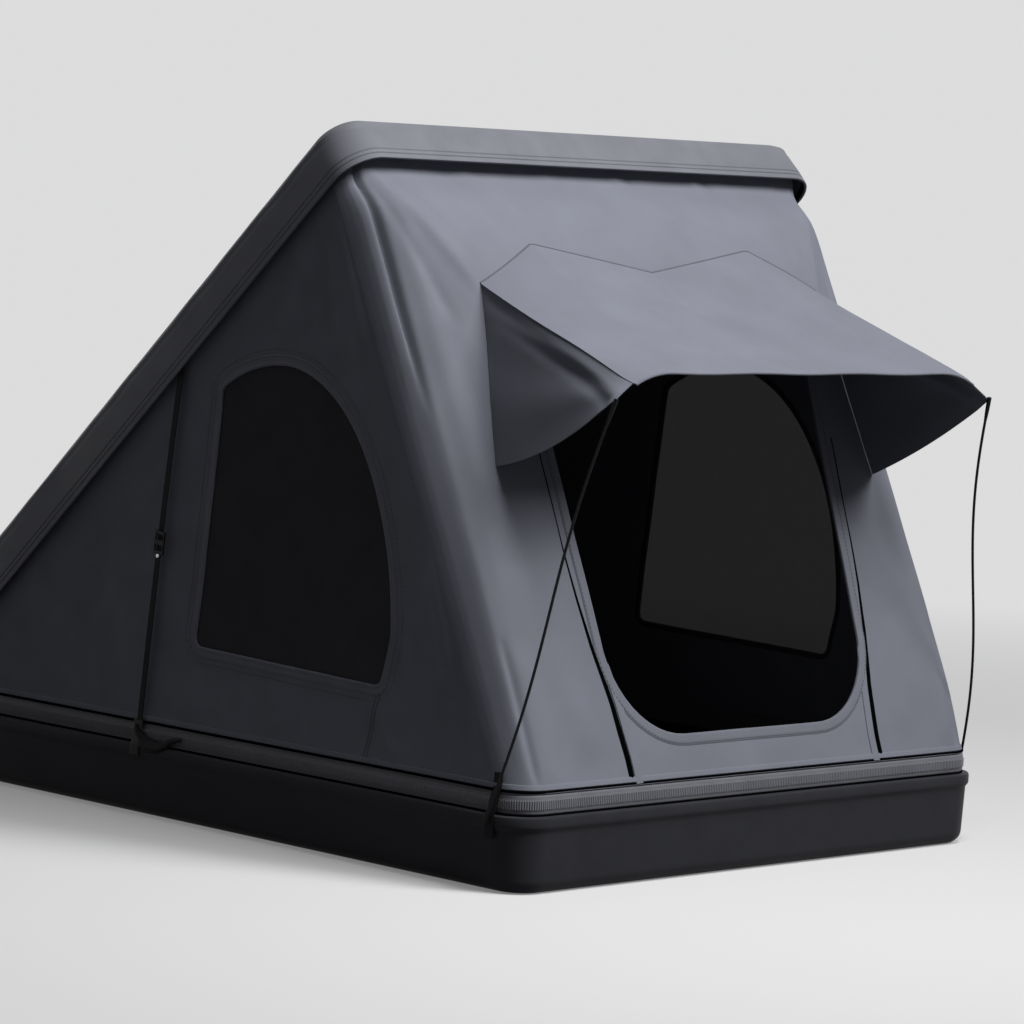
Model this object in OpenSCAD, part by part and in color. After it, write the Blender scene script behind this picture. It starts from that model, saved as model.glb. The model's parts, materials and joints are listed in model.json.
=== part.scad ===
// Wedge roof top tent, open: a moulded base tray, a moulded lid on two rear hinges, fabric walls lofted
// between them, a door under an awning propped on two sprung rods, and gas struts that hold the lid.
// Millimetres. +Z is up, the door end faces -Y, the hinge end +Y. The origin is the middle of the underside.

/* [Shells] */
// Outside width of the base and the lid
body_w = 1500; // [1360:10:1640]
// Outside length of the base and the lid
body_l = 2050; // [1950:10:2150]
// Plan radius of the shell corners
corner_r = 90; // [75:5:110]
// Height of the base tray to the top of its bead
tray_h = 165; // [155:1:180]
// Thickness of the tray's floor
tray_floor = 7; // [5:0.5:10]
// Height of the zip band that stands on the tray
band_h = 48; // [44:1:56]
// Width of the zip on that band
zip_w = 24; // [12:1:28]
// Inset of the zip band from the outside of the shells
band_in = 16; // [15:0.5:19]
// Depth of the lid
lid_h = 125; // [115:1:140]
// Wall thickness of the lid
lid_t = 5; // [4:0.5:6]
// Height of the raised field on the lid's top
field_h = 16; // [8:1:24]

/* [Hinge] */
// Angle between the open lid and the base
open_deg = 41; // [37:0.5:43]
// Distance of the hinge pins behind the base
pin_back = 75; // [68:1:85]
// Height of the hinge pins above the underside
pin_z = 45; // [40:1:52]
// Radius of the hinge pins
pin_r = 6; // [4:0.5:7]
// Distance between the two hinges
hinge_gap = 1000; // [800:10:1100]
// Width of the arm between a bracket's ears
arm_w = 34; // [24:1:44]

/* [Fabric] */
// Thickness of the wall fabric as modelled
cloth_t = 3; // [2:0.5:4]
// How far the side walls draw in between their edges
side_bow = 14; // [0:1:24]
// How far the front wall is pulled out by the awning
front_pull = 110; // [60:1:120]
// Width of the binding round the door and the windows
binding_w = 22; // [14:1:28]
// Half width of the door at its foot
door_half = 415; // [360:5:450]
// Half width of the door at its head
door_top = 445; // [400:5:455]
// Height of the door's foot above the underside
door_foot = 305; // [290:5:340]
// Height of the door's head above the underside
door_head = 1215; // [1150:5:1230]
// Height of the windows' highest point
window_head = 1066; // [1000:2:1090]
// Height of the windows' foot
window_foot = 396; // [360:2:460]
// Distance of the windows' highest point from the middle, towards the door
window_mid = 180; // [140:5:220]
// Reach of the windows from their highest point towards the door
window_front = 392; // [340:2:420]
// Reach of the windows from their highest point towards the hinge
window_rear = 278; // [220:2:300]

/* [Awning] */
// Inset of the awning from the base's sides, at the wall
awning_in = 210; // [200:5:260]
// Inset of the awning from the base's sides, at its free edge
awning_tip_in = 195; // [185:5:220]
// Height of the awning's free edge
awning_z = 1100; // [1080:5:1130]
// Reach of the free edge beyond the base's door end
awning_over = 80; // [40:1:90]
// How far the wings spread out towards their foot
wing_spread = 64; // [40:1:80]
// How far the wings spread out at their free end
tip_spread = 50; // [30:1:60]
// Drop of the awning's two free corners
corner_drop = 16; // [8:1:24]
// Drop of the wings' free end below the awning's edge
wing_drop = 58; // [50:1:70]
// Radius of the awning rods
rod_r = 4; // [3:0.5:5]

/* [Bed and mounts] */
// Inset of the mattress from the base's sides
bed_side = 90; // [85:1:140]
// Inset of the mattress from the base's ends
bed_end = 75; // [60:1:120]
// Thickness of the mattress at its edge
bed_h = 66; // [50:1:80]
// Crown of the mattress in its middle
bed_crown = 14; // [6:1:20]
// Distance between the two mounting rails
rail_gap = 860; // [700:10:1000]
// Distance between the two bolt holes of a rail
bolt_gap = 1200; // [900:10:1400]
// Radius of the bolt holes
bolt_r = 4.25; // [3.25:0.25:5.25]

/* [Hidden] */
$fn = 48;

half_w = body_w / 2;
half_l = body_l / 2;
bed_w = body_w - 2 * bed_side;
bed_l = body_l - 2 * bed_end;
awning_root = half_w - awning_in;
awning_half = half_w - awning_tip_in;
through = body_l;               // reach of the cutters for door and windows
rim_z = tray_h + band_h;        // top of the zip band, where the fabric starts
pin_y = half_l + pin_back;
bore_r = pin_r + 0.04;          // running fit on the hinge pins
lid_top = tray_h + lid_h;       // these lid heights are those of the closed lid
lid_roof = lid_top - 7;         // underside of the lid's top
corner_n = 8;                   // steps round a corner

shell_black = "#1b1c1f";
shell_grey = "#3b3d43";
cloth_dark = "#2a2b30";
cloth_slate = "#4a4c55";
trim_black = "#101114";
metal_grey = "#8d9095";

// Rounded rectangle as points, counter-clockwise from the right side's front end. The straight sides are
// divided into along (left and right) and across (front and rear) steps.
function straight(a, b, n) = [for (i = [1:1:n - 1]) a + (b - a) * i / n];
function bend(c, r, from) = [for (i = [0:corner_n])
    let (a = from + 90 * i / corner_n) c + r * [cos(a), sin(a)]];
function outline(w, l, r, along = 1, across = 1) = let (x = w / 2 - r, y = l / 2 - r) concat(
    straight([w / 2, -y], [w / 2, y], along), bend([x, y], r, 0),
    straight([x, l / 2], [-x, l / 2], across), bend([-x, y], r, 90),
    straight([-w / 2, y], [-w / 2, -y], along), bend([-x, -y], r, 180),
    straight([-x, -l / 2], [x, -l / 2], across), bend([x, -y], r, 270));
function raised(points, z, y = 0) = [for (p = points) [p[0], p[1] + y, z]];
function inset_ring(inset, z) =
    raised(outline(body_w - 2 * inset, body_l - 2 * inset, max(corner_r - inset, 12)), z);

// A closed skin over rings of equal length: capped at both ends, or joined last to first
module skin(rings, joined = false) {
    n = len(rings[0]);
    m = len(rings);
    points = [for (r = rings) each r];
    sides = [for (i = [0:joined ? m - 1 : m - 2], j = [0:n - 1])
        let (k = (j + 1) % n, u = i * n, v = ((i + 1) % m) * n) [u + j, v + j, v + k, u + k]];
    caps = joined ? [] : [[for (j = [0:n - 1]) j], [for (j = [n - 1:-1:0]) (m - 1) * n + j]];
    polyhedron(points, concat(sides, caps), convexity = 8);
}
// A shell or a rim from its section, given as [inset, z] pairs that follow the shell's outline
module shell(section) skin([for (s = section) inset_ring(s[0], s[1])]);
module rim(section) skin([for (s = section) inset_ring(s[0], s[1])], joined = true);

// A sheet between two equal grids of points, outside and inside
module sheet(outside, inside) {
    rows = len(outside);
    cols = len(outside[0]);
    half = rows * cols;
    function at(i, j) = i * cols + j;
    edge = concat([for (j = [0:cols - 1]) at(0, j)], [for (i = [1:rows - 1]) at(i, cols - 1)],
        [for (j = [cols - 2:-1:0]) at(rows - 1, j)], [for (i = [rows - 2:-1:1]) at(i, 0)]);
    n = len(edge);
    front = [for (i = [0:rows - 2], j = [0:cols - 2]) each [
        [at(i, j), at(i + 1, j), at(i + 1, j + 1)], [at(i, j), at(i + 1, j + 1), at(i, j + 1)]]];
    back = [for (f = front) [f[2] + half, f[1] + half, f[0] + half]];
    ends = [for (j = [0:n - 1]) let (a = edge[j], b = edge[(j + 1) % n]) each [
        [a, b, b + half], [a, b + half, a + half]]];
    polyhedron(concat([for (r = outside) each r], [for (r = inside) each r]),
        concat(front, back, ends), convexity = 8);
}
// A round bar along points, with a radius at each
function unit(v) = v / norm(v);
module bar(points, radii, sides = 12) {
    n = len(points);
    skin([for (i = [0:n - 1]) let (
        t = unit(points[min(i + 1, n - 1)] - points[max(i - 1, 0)]),
        a = unit(cross(t, [0, 1, 0.2])), b = cross(t, a))
        [for (k = [0:sides - 1]) let (w = 360 * k / sides) points[i] + radii[i] * (a * cos(w) + b * sin(w))]]);
}

// The lid's pieces are drawn closed and turned up about the hinge pins
module opened() translate([0, pin_y, pin_z]) rotate([-open_deg, 0, 0])
    translate([0, -pin_y, -pin_z]) children();
function opened_yz(y, z) = [pin_y + (y - pin_y) * cos(open_deg) + (z - pin_z) * sin(open_deg),
    pin_z - (y - pin_y) * sin(open_deg) + (z - pin_z) * cos(open_deg)];
module both(side) if (side < 0) children(); else mirror([1, 0, 0]) children();

// Base

module base_tray() color(shell_black) difference() {
    shell([[40, 0], [27, 3], [18, 10], [12, 23], [7, tray_h - 36], [6, tray_h - 29], [1, tray_h - 24],
        [0, tray_h - 20], [0, tray_h - 4], [1.5, tray_h - 1], [5, tray_h],
        [band_in + 20, tray_h], [band_in + 20, tray_h - 8], [tray_in, tray_h - 24], [tray_in, 30],
        [30, tray_floor]]);
    mount_holes(-1, tray_floor + 1);
}
tray_in = 18;                   // inside face of the tray's sides
module mount_holes(z0, z1) for (x = [-1, 1], y = [-1, 1])
    translate([x * rail_gap / 2, y * bolt_gap / 2, z0]) cylinder(r = bolt_r, h = z1 - z0);

module rim_band() color(shell_grey) rim([[band_in + 3, tray_h], [band_in + 3, tray_h + 3],
    [band_in, tray_h + 5], [band_in, rim_z - 5], [band_in + 3, rim_z - 3], [band_in + 3, rim_z],
    [band_in + 18, rim_z], [band_in + 18, tray_h]]);

zip_z = tray_h + (band_h - zip_w) / 2;
module zip_track() color(trim_black) rim([[band_in, zip_z], [band_in - 2.5, zip_z + 2],
    [band_in - 2.5, zip_z + zip_w - 2], [band_in, zip_z + zip_w]]);

rail_t = 12;
deck_z = tray_floor + rail_t;
deck_t = 12;
module mounting_rails() color(metal_grey) difference() {
    for (x = [-1, 1]) translate([x * rail_gap / 2, 0, 0]) rotate([90, 0, 0])
        linear_extrude(bolt_gap + 400, center = true) polygon([[-32, tray_floor], [32, tray_floor],
            [32, tray_floor + 4], [22, tray_floor + 6], [22, deck_z], [-22, deck_z],
            [-22, tray_floor + 6], [-32, tray_floor + 4]]);
    mount_holes(tray_floor - 1, deck_z + 1);
}
module floor_panel() color("#6b5a45") skin([for (z = [deck_z, deck_z + deck_t])
    raised(outline(body_w - 64, body_l - 64, corner_r - 32), z)]);

bed_z = deck_z + deck_t;
function bed_ring(inset, z) =
    raised(outline(bed_w - 2 * inset, bed_l - 2 * inset, max(80 - inset, 20)), bed_z + z);
module mattress() color("#55575d") skin([bed_ring(12, 0), bed_ring(2, 5), bed_ring(0, 12),
    bed_ring(7, bed_h * 0.5), bed_ring(0, bed_h - 12), bed_ring(3, bed_h - 4),
    for (i = [1:5]) bed_ring(12 + 100 * i, bed_h + bed_crown * sin(18 * i))]);

// Hinge: a bracket with two ears on the tray's bead, an arm under the lid's rear edge, one pin through both

ear_t = 8;
module hinge_place(side) translate([side * hinge_gap / 2, 0, 0]) rotate([90, 0, 90]) children();
module ear() linear_extrude(ear_t) union() {
    translate([pin_y, pin_z]) circle(15);
    polygon([[half_l + 4, tray_h - 20], [half_l + 4, 18], [pin_y, pin_z - 15], [pin_y + 10.6, pin_z + 10.6],
        [half_l + 26, tray_h - 20]]);
}
module hinge_bracket(side) color(trim_black) hinge_place(side) difference() {
    union() {
        translate([half_l, 18, -arm_w / 2 - 34]) cube([6, tray_h - 22, arm_w + 68]);
        for (z = [-arm_w / 2 - 1 - ear_t, arm_w / 2 + 1]) translate([0, 0, z]) ear();
    }
    translate([pin_y, pin_z, -arm_w]) cylinder(r = bore_r, h = 2 * arm_w);
}
module hinge_pins() color(metal_grey) for (side = [-1, 1]) hinge_place(side) {
    reach = arm_w / 2 + 1 + ear_t;
    translate([pin_y, pin_z, -reach - 1]) cylinder(r = pin_r, h = 2 * reach + 2);
    for (z = [-reach - 5, reach + 0.5]) translate([pin_y, pin_z, z]) cylinder(r = pin_r + 4, h = 4.5);
}
module hinge_arm(side) color(trim_black) opened() hinge_place(side) translate([0, 0, -arm_w / 2]) difference() {
    linear_extrude(arm_w) union() {
        translate([pin_y, pin_z]) circle(15);
        polygon([[pin_y - 14, pin_z - 5], [pin_y + 14, pin_z - 5], [pin_y + 15, pin_z + 20],
            [half_l + 40, tray_h + 24], [half_l + 14, tray_h + 36], [half_l, tray_h + 36],
            [half_l, tray_h + 6], [half_l + 16, tray_h - 10], [pin_y - 18, pin_z + 40]]);
    }
    translate([pin_y, pin_z, -1]) cylinder(r = bore_r, h = arm_w + 2);
}

// Lid

module lid_shell() color(shell_grey) opened() skin(concat(
    [for (s = [[30, 1], [10, 0]]) field_ring(s[0], lid_roof + field_h * s[1])],
    [for (s = [[lid_t + 12, lid_roof], [lid_t, lid_roof - 14], [lid_t, tray_h + 1], [0, tray_h + 1],
        [0, tray_h + 14], [1.8, tray_h + 15], [1.8, tray_h + 17], [0, tray_h + 18],
        [0, tray_h + 37], [2.2, tray_h + 38.5], [2.2, tray_h + 41], [0.6, tray_h + 42.5],
        [4, lid_top - 30], [8, lid_top - 17], [16, lid_top - 7], [29, lid_top - 1.5], [46, lid_top]])
        inset_ring(s[0], s[1])],
    [for (s = [[0, 0], [6, 0.3], [18, 0.85], [28, 1]]) field_ring(s[0], lid_top + field_h * s[1])]));
// The raised field stops short of the hinge end
function field_ring(inset, z) = raised(outline(body_w - 240 - 2 * inset, body_l - 400 - 2 * inset, 70), z, -80);

module lid_liner() color("#5d5f66") opened() skin([for (z = [lid_roof - 4, lid_roof])
    raised(outline(bed_w, body_l - 120, 60), z)]);
module lid_seal() color(trim_black) opened() rim([[lid_t, tray_h + 5], [lid_t, tray_h + 17],
    [lid_t + 3, tray_h + 17], [lid_t + 4, tray_h + 11], [lid_t + 3, tray_h + 5]]);

// Rail inside the lid that takes the top edge of the fabric
head_z = rim_z + 8;
module fabric_rail() color(metal_grey) opened() rim([[lid_t, head_z], [lid_t, head_z + 6],
    [lid_in + 6, head_z + 6], [lid_in + 6, head_z]]);

// Fabric: the walls are parts of one loft from the zip band to the rail inside the open lid

wall_in = band_in + 4;
lid_in = lid_t + 16;
along = 12;
across = 22;
function cloth_ring(inset) =
    outline(body_w - 2 * inset, body_l - 2 * inset, corner_r - inset, along, across);
side_n = along - 1 + corner_n + 1;
cap_n = across - 1 + corner_n + 1;
ring_n = 2 * (side_n + cap_n);
// Share of the way along a straight side, for ring place k, or 0 in a corner
function side_share(k, start, n) = let (i = (k - start + ring_n) % ring_n) i < n ? (i + 1) / n : 0;
// Gathers under the lid's edge: slanted folds that fade out downwards
function gather(x, v) = v < 0.62 ? 0 : 3 * sin(abs(x) * 0.9 + v * 500) * (v - 0.62) * (1 - v) * 26;
// The awning pulls the front wall out, most at the awning's root and not at all at the wall's own edges
front_head = opened_yz(-half_l + lid_in, head_z);
root_z = door_head + 105;
root_v = (root_z - rim_z) / (front_head[1] - rim_z);
function ease(share) = sin(90 * min(max(share, 0), 1));
function pull(x, v) = front_pull * ease((half_w - wall_in - abs(x)) / (half_w - wall_in - awning_root))
    * ease(v > root_v ? (1 - v) / (1 - root_v) : v / root_v);
function wall_point(foot, head, k, v, t) = let (
    a = foot[k], h = opened_yz(head[k][1], head_z - 0.3),
    belly = sin(180 * v),
    p = [a[0] + (head[k][0] - a[0]) * v, a[1] + (h[0] - a[1]) * v, rim_z + (h[1] - rim_z) * v],
    right = side_share(k, 0, along), left = side_share(k, side_n + cap_n, along),
    door = side_share(k, 2 * side_n + cap_n, across))
    p + belly * [side_bow * (sin(180 * left) - sin(180 * right)), 0, 0]
      + [0, door > 0 ? gather(p[0], v) - pull(p[0], v) : 0, 0];
// Heights of the rows: one row lies at the awning's root
wall_rows = [for (i = [0:8]) root_v * i / 8, for (i = [1:3]) root_v + (1 - root_v) * i / 3];
function wall_grid(places, t, rows) = let (foot = cloth_ring(wall_in + t), head = cloth_ring(lid_in + t))
    [for (v = rows) [for (k = places) wall_point(foot, head, k % ring_n, v, t)]];
module wall(places, t0, t1, rows = wall_rows) sheet(wall_grid(places, t0, rows), wall_grid(places, t1, rows));
// Ring places of each wall; the front and rear walls take their corners
right_places = [ring_n - 1, for (k = [0:along - 1]) k];
rear_places = [for (k = [along - 1:side_n + cap_n - 1]) k];
left_places = [for (k = [side_n + cap_n - 1:side_n + cap_n + along - 1]) k];
front_places = [for (k = [side_n + cap_n + along - 1:ring_n - 1]) k];

// Window in the side walls, seen from the side as [y, z]: two arches and a slanted rear edge
window_waist = window_foot + 104;
window_back = 0.748 * window_rear; // the rear edge leans forward to its top corner
function arch(a, y) = [y, window_waist + (window_head - window_waist) * sqrt(1 - pow(y / a, 2))];
module window_shape(grow = 0) offset(grow + 26) offset(-26) translate([-window_mid, 0]) polygon(concat(
    [[window_rear, window_foot + 10]], [for (i = [4:-1:1]) arch(window_back * 2.16, window_back * i / 4)],
    [for (i = [0:14]) arch(window_front, -window_front * sin(90 * i / 14))],
    [[28 - window_front, window_foot - 10]]));
module window_prism(side, grow = 0) translate([side * half_w, 0, 0]) rotate([90, 0, 90])
    linear_extrude(body_w / 5, center = true) window_shape(grow);
module door_shape(grow = 0) offset(grow) hull() {
    for (x = [-1, 1]) translate([x * (door_half - 200), door_foot + 200]) circle(200);
    for (x = [-1, 1]) translate([x * (door_top - 60), door_head - 60]) circle(60);
}
module door_prism(grow = 0) translate([0, -half_l, 0]) rotate([90, 0, 0])
    linear_extrude(through, center = true) door_shape(grow);

module left_wall() color(cloth_dark) difference() { wall(left_places, 0, cloth_t); window_prism(-1); }
module right_wall() color(cloth_dark) difference() { wall(right_places, 0, cloth_t); window_prism(1); }
module front_wall() color(cloth_slate) difference() { wall(front_places, 0, cloth_t); door_prism(); }
module rear_wall() color(cloth_dark) wall(rear_places, 0, cloth_t, [0, 0.5, 1]);
module window_mesh(side) color("#0c0c10") intersection() {
    wall(side < 0 ? left_places : right_places, cloth_t, cloth_t + 1.5);
    window_prism(side, 10);
}
module window_binding(side) color("#34353b") intersection() {
    wall(side < 0 ? left_places : right_places, -2, 0);
    difference() { window_prism(side, binding_w); window_prism(side); }
}
module door_binding() color("#3d3f47") intersection() {
    wall(front_places, -2.5, 0);
    difference() { door_prism(binding_w); door_prism(); }
}
// Zips that run from the door's sides to the rim
module door_zips() color(trim_black) intersection() {
    wall(front_places, -2, 0);
    difference() {
        for (x = [-1, 1]) translate([0, -half_l, 0]) rotate([90, 0, 0]) linear_extrude(through, center = true)
            polygon([[x * (door_half + 17), door_foot + 210], [x * (door_half + 29), door_foot + 210],
                [x * (door_half + 7), rim_z - 1], [x * (door_half - 5), rim_z - 1]]);
        door_prism(binding_w + 1);
    }
}

// Awning: it leaves the pulled front wall in a shallow hollow curve, and its free corners drop

function front_y(x, z) = let (v = (z - rim_z) / (front_head[1] - rim_z))
    -half_l + wall_in + (front_head[0] + half_l - wall_in) * v + gather(x, v) - pull(x, v);
edge_y = -half_l - awning_over;
function bezier(a, b, c, s) = a * (1 - s) * (1 - s) + 2 * b * s * (1 - s) + c * s * s;
// Section of the awning at share u of its half width and share s of the way out
function awning_point(u, s, t) = let (x = u * awning_width(s), y0 = front_y(u * awning_root, root_z) - 0.8 - t)
    bezier([x, y0, root_z], [x, y0 + 0.45 * (edge_y - y0), root_z + 0.57 * (awning_z - root_z)],
        [x, edge_y - t * 0.4, awning_z], s)
    + [0, 0, t * s - 14 * (1 - u * u) * sin(180 * s)
        - corner_drop * s * s * pow(max(abs(u) - 0.84, 0) / 0.16, 2)];
awning_rows = 14;
wing_at = 0.99;
// Shares of the half width, close together at the corners and with the wings' line among them
awning_shares = [-1, -wing_at, -0.95, -0.9, -0.84, -0.7, -0.56, -0.42, -0.28, -0.14, 0,
    0.14, 0.28, 0.42, 0.56, 0.7, 0.84, 0.9, 0.95, wing_at, 1];
function awning_width(s) = awning_root + (awning_half - awning_root) * s - (s > 0.94 ? 200 * (s - 0.94) : 0);
function awning_grid(t) = [for (i = [0:awning_rows]) [for (u = awning_shares)
    awning_point(u, i / awning_rows, t)]];
module awning_panel() color(cloth_slate) sheet(awning_grid(cloth_t), awning_grid(0));
// Wing: a gusset from the awning's side edge down to the door's side, with two folds
wing_foot_z = 880;
wing_gap = 0.9;                 // between the wing's root and the wall
function wing_point(s, r, t) = let (
    top = awning_point(-wing_at, s * 0.97, 0) - [0, 0, wing_gap],
    z0 = root_z + (wing_foot_z - root_z) * r,
    x = top[0] - r * (wing_spread * (1 - s) + tip_spread * s) + 18 * sin(540 * r) * s * (1 - s),
    y0 = front_y(x, wing_foot_z) - wing_gap,
    tip_z = awning_z - wing_drop, mid_z = wing_foot_z + 0.22 * (tip_z - wing_foot_z),
    low = bezier([x, y0, wing_foot_z], [x, y0 + 0.53 * (edge_y - y0), mid_z], [x, edge_y + 4, tip_z], s),
    q = top * (1 - r) + low * r, root = awning_point(-wing_at, 0, 0)[1] * (1 - r) + y0 * r)
    [x + t, q[1] + (front_y(x, z0) - wing_gap - root) * (1 - s) * (1 - s), q[2]];
function wing_grid(t) = [for (i = [0:12]) [for (j = [0:9]) wing_point(i / 12, j / 9, t)]];
module awning_wing(side) color("#34353c") both(side) sheet(wing_grid(0), wing_grid(cloth_t - 0.5));

// Awning rods: slightly bowed, with thicker ferrules, from a tab on the rim to the awning's corner

rod_foot = [-half_w - 14, -half_l + 95, tray_h - 18];
rod_tip = [-awning_half - tip_spread + rod_r, edge_y - 1, awning_z - wing_drop + 4];
rod_rings = 16;
function rod_point(s) = rod_foot + (rod_tip - rod_foot) * s + 16 * sin(360 * s) * [-0.2, -1, 0];
module awning_rod(side) color(trim_black) both(side) {
    bar([for (i = [0:rod_rings]) rod_point(i / rod_rings)],
        [for (i = [0:rod_rings]) i < 2 || i > rod_rings - 2 ? rod_r + 1.5 : rod_r]);
    translate(rod_foot) rotate([90, 0, 0]) cylinder(r = rod_r + 1.5, h = 16, center = true);
}
module rod_tab(side) color(trim_black) both(side) translate([0, rod_foot[1] - 4, 0]) rotate([90, 0, 0])
    linear_extrude(38, center = true) polygon([[-half_w + wall_in, rim_z + 40],
        [-half_w + wall_in - 2.5, rim_z + 40], [-half_w - 4, tray_h - 2], [-half_w - 4, tray_h - 50],
        [-half_w, tray_h - 50], [-half_w, tray_h - 3]]);

// Side straps: from the lid's edge, through an adjuster, to a hook on the rim

strap_top = opened_yz(half_l * -0.267, tray_h + 12);
strap_low = [strap_top[0] + 110, tray_h + 44];
strap_x = -half_w + band_in - 5;
strap_lean = (strap_top[0] - strap_low[0]) / (strap_top[1] - strap_low[1]);
function strap_at(z) = strap_low[0] + strap_lean * (z - strap_low[1]);
module side_strap(side) color(trim_black) both(side) translate([strap_x - 2, 0, 0]) rotate([90, 0, 90])
    linear_extrude(2) polygon([[strap_low[0] - 12, strap_low[1]], [strap_low[0] + 12, strap_low[1]],
        [strap_top[0] + 12, strap_top[1]], [strap_top[0] - 12, strap_top[1]]]);
adjuster_z = strap_low[1] + 0.51 * (strap_top[1] - strap_low[1]);
module strap_adjuster(side) color(trim_black) both(side)
    translate([strap_x - 1, strap_at(adjuster_z), adjuster_z]) rotate([-atan(strap_lean), 0, 0]) difference() {
    hull() for (z = [-22, 22], y = [-13, 13])
        translate([0, y, z]) rotate([0, 90, 0]) cylinder(r = 5, h = 9, center = true);
    cube([2.2, 25, 80], center = true);
    for (z = [-10, 10]) translate([-4, 0, z]) cube([6, 25, 10], center = true);
}
module strap_hook(side) color(trim_black) both(side) translate([0, strap_low[0], 0]) rotate([90, 0, 0])
    linear_extrude(34, center = true) polygon([[strap_x - 3.5, strap_low[1]], [strap_x, strap_low[1]],
        [strap_x, tray_h], [-half_w, tray_h], [-half_w, tray_h - 26], [-half_w - 5, tray_h - 26],
        [-half_w - 5, tray_h + 2],
        [-half_w - 1, tray_h + 9], [strap_x - 3.5, tray_h + 14]]);

// Gas struts, one inside each side wall

strut_x = half_w - 62;
strut_base = [half_l - 225, tray_h - 62];
strut_lid = [half_l - 675, lid_top - 40];
strut_head = opened_yz(strut_lid[0], strut_lid[1]);
strut_len = norm(strut_head - strut_base);
strut_deg = atan2(strut_head[1] - strut_base[1], strut_head[0] - strut_base[0]);
shut_len = norm(strut_lid - strut_base);
barrel_len = shut_len - 130;
rod_start = strut_len - (shut_len - 100) + 1;
strut_pin_r = 4;
strut_rod_r = 5;
// Drawn with the strut along X of its own plane, from its base pivot
module strut_frame(side) both(side) translate([-strut_x, strut_base[0], strut_base[1]])
    rotate([strut_deg, 0, 0]) rotate([0, 0, 90]) children();
module strut_barrel(side) color(trim_black) strut_frame(side) difference() {
    union() {
        rotate([90, 0, 0]) cylinder(r = 13, h = 18, center = true);
        translate([10, 0, 0]) rotate([0, 90, 0]) cylinder(r = 11, h = barrel_len - 10);
    }
    rotate([90, 0, 0]) cylinder(r = strut_pin_r + 0.04, h = 40, center = true);
    translate([60, 0, 0]) rotate([0, 90, 0]) cylinder(r = strut_rod_r + 0.06, h = barrel_len);
}
module strut_rod(side) color(metal_grey) strut_frame(side) {
    translate([rod_start, 0, 0]) rotate([0, 90, 0]) cylinder(r = strut_rod_r, h = strut_len - rod_start - 6);
    translate([strut_len, 0, 0]) rotate([90, 0, 0]) cylinder(r = 9, h = 16, center = true);
}
module strut_bracket(side) color(metal_grey) both(side)
    translate([-strut_x, strut_base[0], strut_base[1]]) rotate([0, -90, 0]) {
    cylinder(r = strut_pin_r, h = 30);
    translate([0, 0, -13]) cylinder(r = strut_pin_r, h = 14);
    translate([0, 0, -13]) cylinder(r = 8, h = 3);
    translate([0, 0, 12]) cylinder(r = 20, h = half_w - strut_x - tray_in - 12);
}
module strut_stud(side) color(metal_grey) opened() both(side)
    translate([-strut_x - 10, strut_lid[0], strut_lid[1]]) rotate([0, -90, 0]) {
    cylinder(r = 5, h = half_w - strut_x - 10 - lid_t);
    translate([0, 0, half_w - strut_x - 14 - lid_t]) cylinder(r = 16, h = 4);
}

base_tray();
rim_band();
zip_track();
floor_panel();
mattress();
mounting_rails();
hinge_bracket(-1);  // hinge_bracket_left
hinge_bracket(1);  // hinge_bracket_right
hinge_pins();
strut_bracket(-1);  // strut_bracket_left
strut_bracket(1);  // strut_bracket_right
left_wall();
right_wall();
front_wall();
rear_wall();
window_mesh(-1);  // window_mesh_left
window_mesh(1);  // window_mesh_right
window_binding(-1);  // window_binding_left
window_binding(1);  // window_binding_right
door_binding();
door_zips();
awning_panel();
awning_wing(-1);  // awning_wing_left
awning_wing(1);  // awning_wing_right
side_strap(-1);  // side_strap_left
side_strap(1);  // side_strap_right
strap_adjuster(-1);  // strap_adjuster_left
strap_adjuster(1);  // strap_adjuster_right
strap_hook(-1);  // strap_hook_left
strap_hook(1);  // strap_hook_right
rod_tab(-1);  // rod_tab_left
rod_tab(1);  // rod_tab_right
lid_shell();
lid_liner();
lid_seal();
fabric_rail();
hinge_arm(-1);  // hinge_arm_left
hinge_arm(1);  // hinge_arm_right
strut_stud(-1);  // strut_stud_left
strut_stud(1);  // strut_stud_right
strut_barrel(-1);  // strut_barrel_left
strut_barrel(1);  // strut_barrel_right
strut_rod(-1);  // strut_rod_left
strut_rod(1);  // strut_rod_right
awning_rod(-1);  // awning_rod_left
awning_rod(1);  // awning_rod_right
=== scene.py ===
"""Wedge roof top tent, open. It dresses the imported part: mouldings, canvas, bindings, rods, straps, bed and stage."""

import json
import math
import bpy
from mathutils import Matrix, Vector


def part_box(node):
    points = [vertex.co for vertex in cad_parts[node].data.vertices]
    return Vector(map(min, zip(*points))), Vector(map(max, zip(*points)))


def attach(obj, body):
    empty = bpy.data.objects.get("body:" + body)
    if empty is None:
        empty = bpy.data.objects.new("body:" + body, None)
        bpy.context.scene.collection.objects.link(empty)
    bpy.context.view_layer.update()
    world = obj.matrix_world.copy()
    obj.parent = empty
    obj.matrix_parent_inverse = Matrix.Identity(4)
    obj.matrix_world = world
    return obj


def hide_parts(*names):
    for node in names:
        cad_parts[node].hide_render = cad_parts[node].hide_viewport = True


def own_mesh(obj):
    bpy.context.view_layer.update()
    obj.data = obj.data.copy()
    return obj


bl_info = {
    "name": "Roof top tent",
    "version": (1, 0, 0),
    "blender": (4, 5, 0),
    "location": "View3D > Sidebar > Tent",
    "description": "Mouldings, canvas, bindings, rods, straps, bed and stage of a wedge roof top tent",
    "category": "Object",
}

from contextlib import contextmanager

import bpy
import numpy as np
from bpy.props import FloatProperty, FloatVectorProperty, PointerProperty
from mathutils import Matrix, Vector

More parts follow.
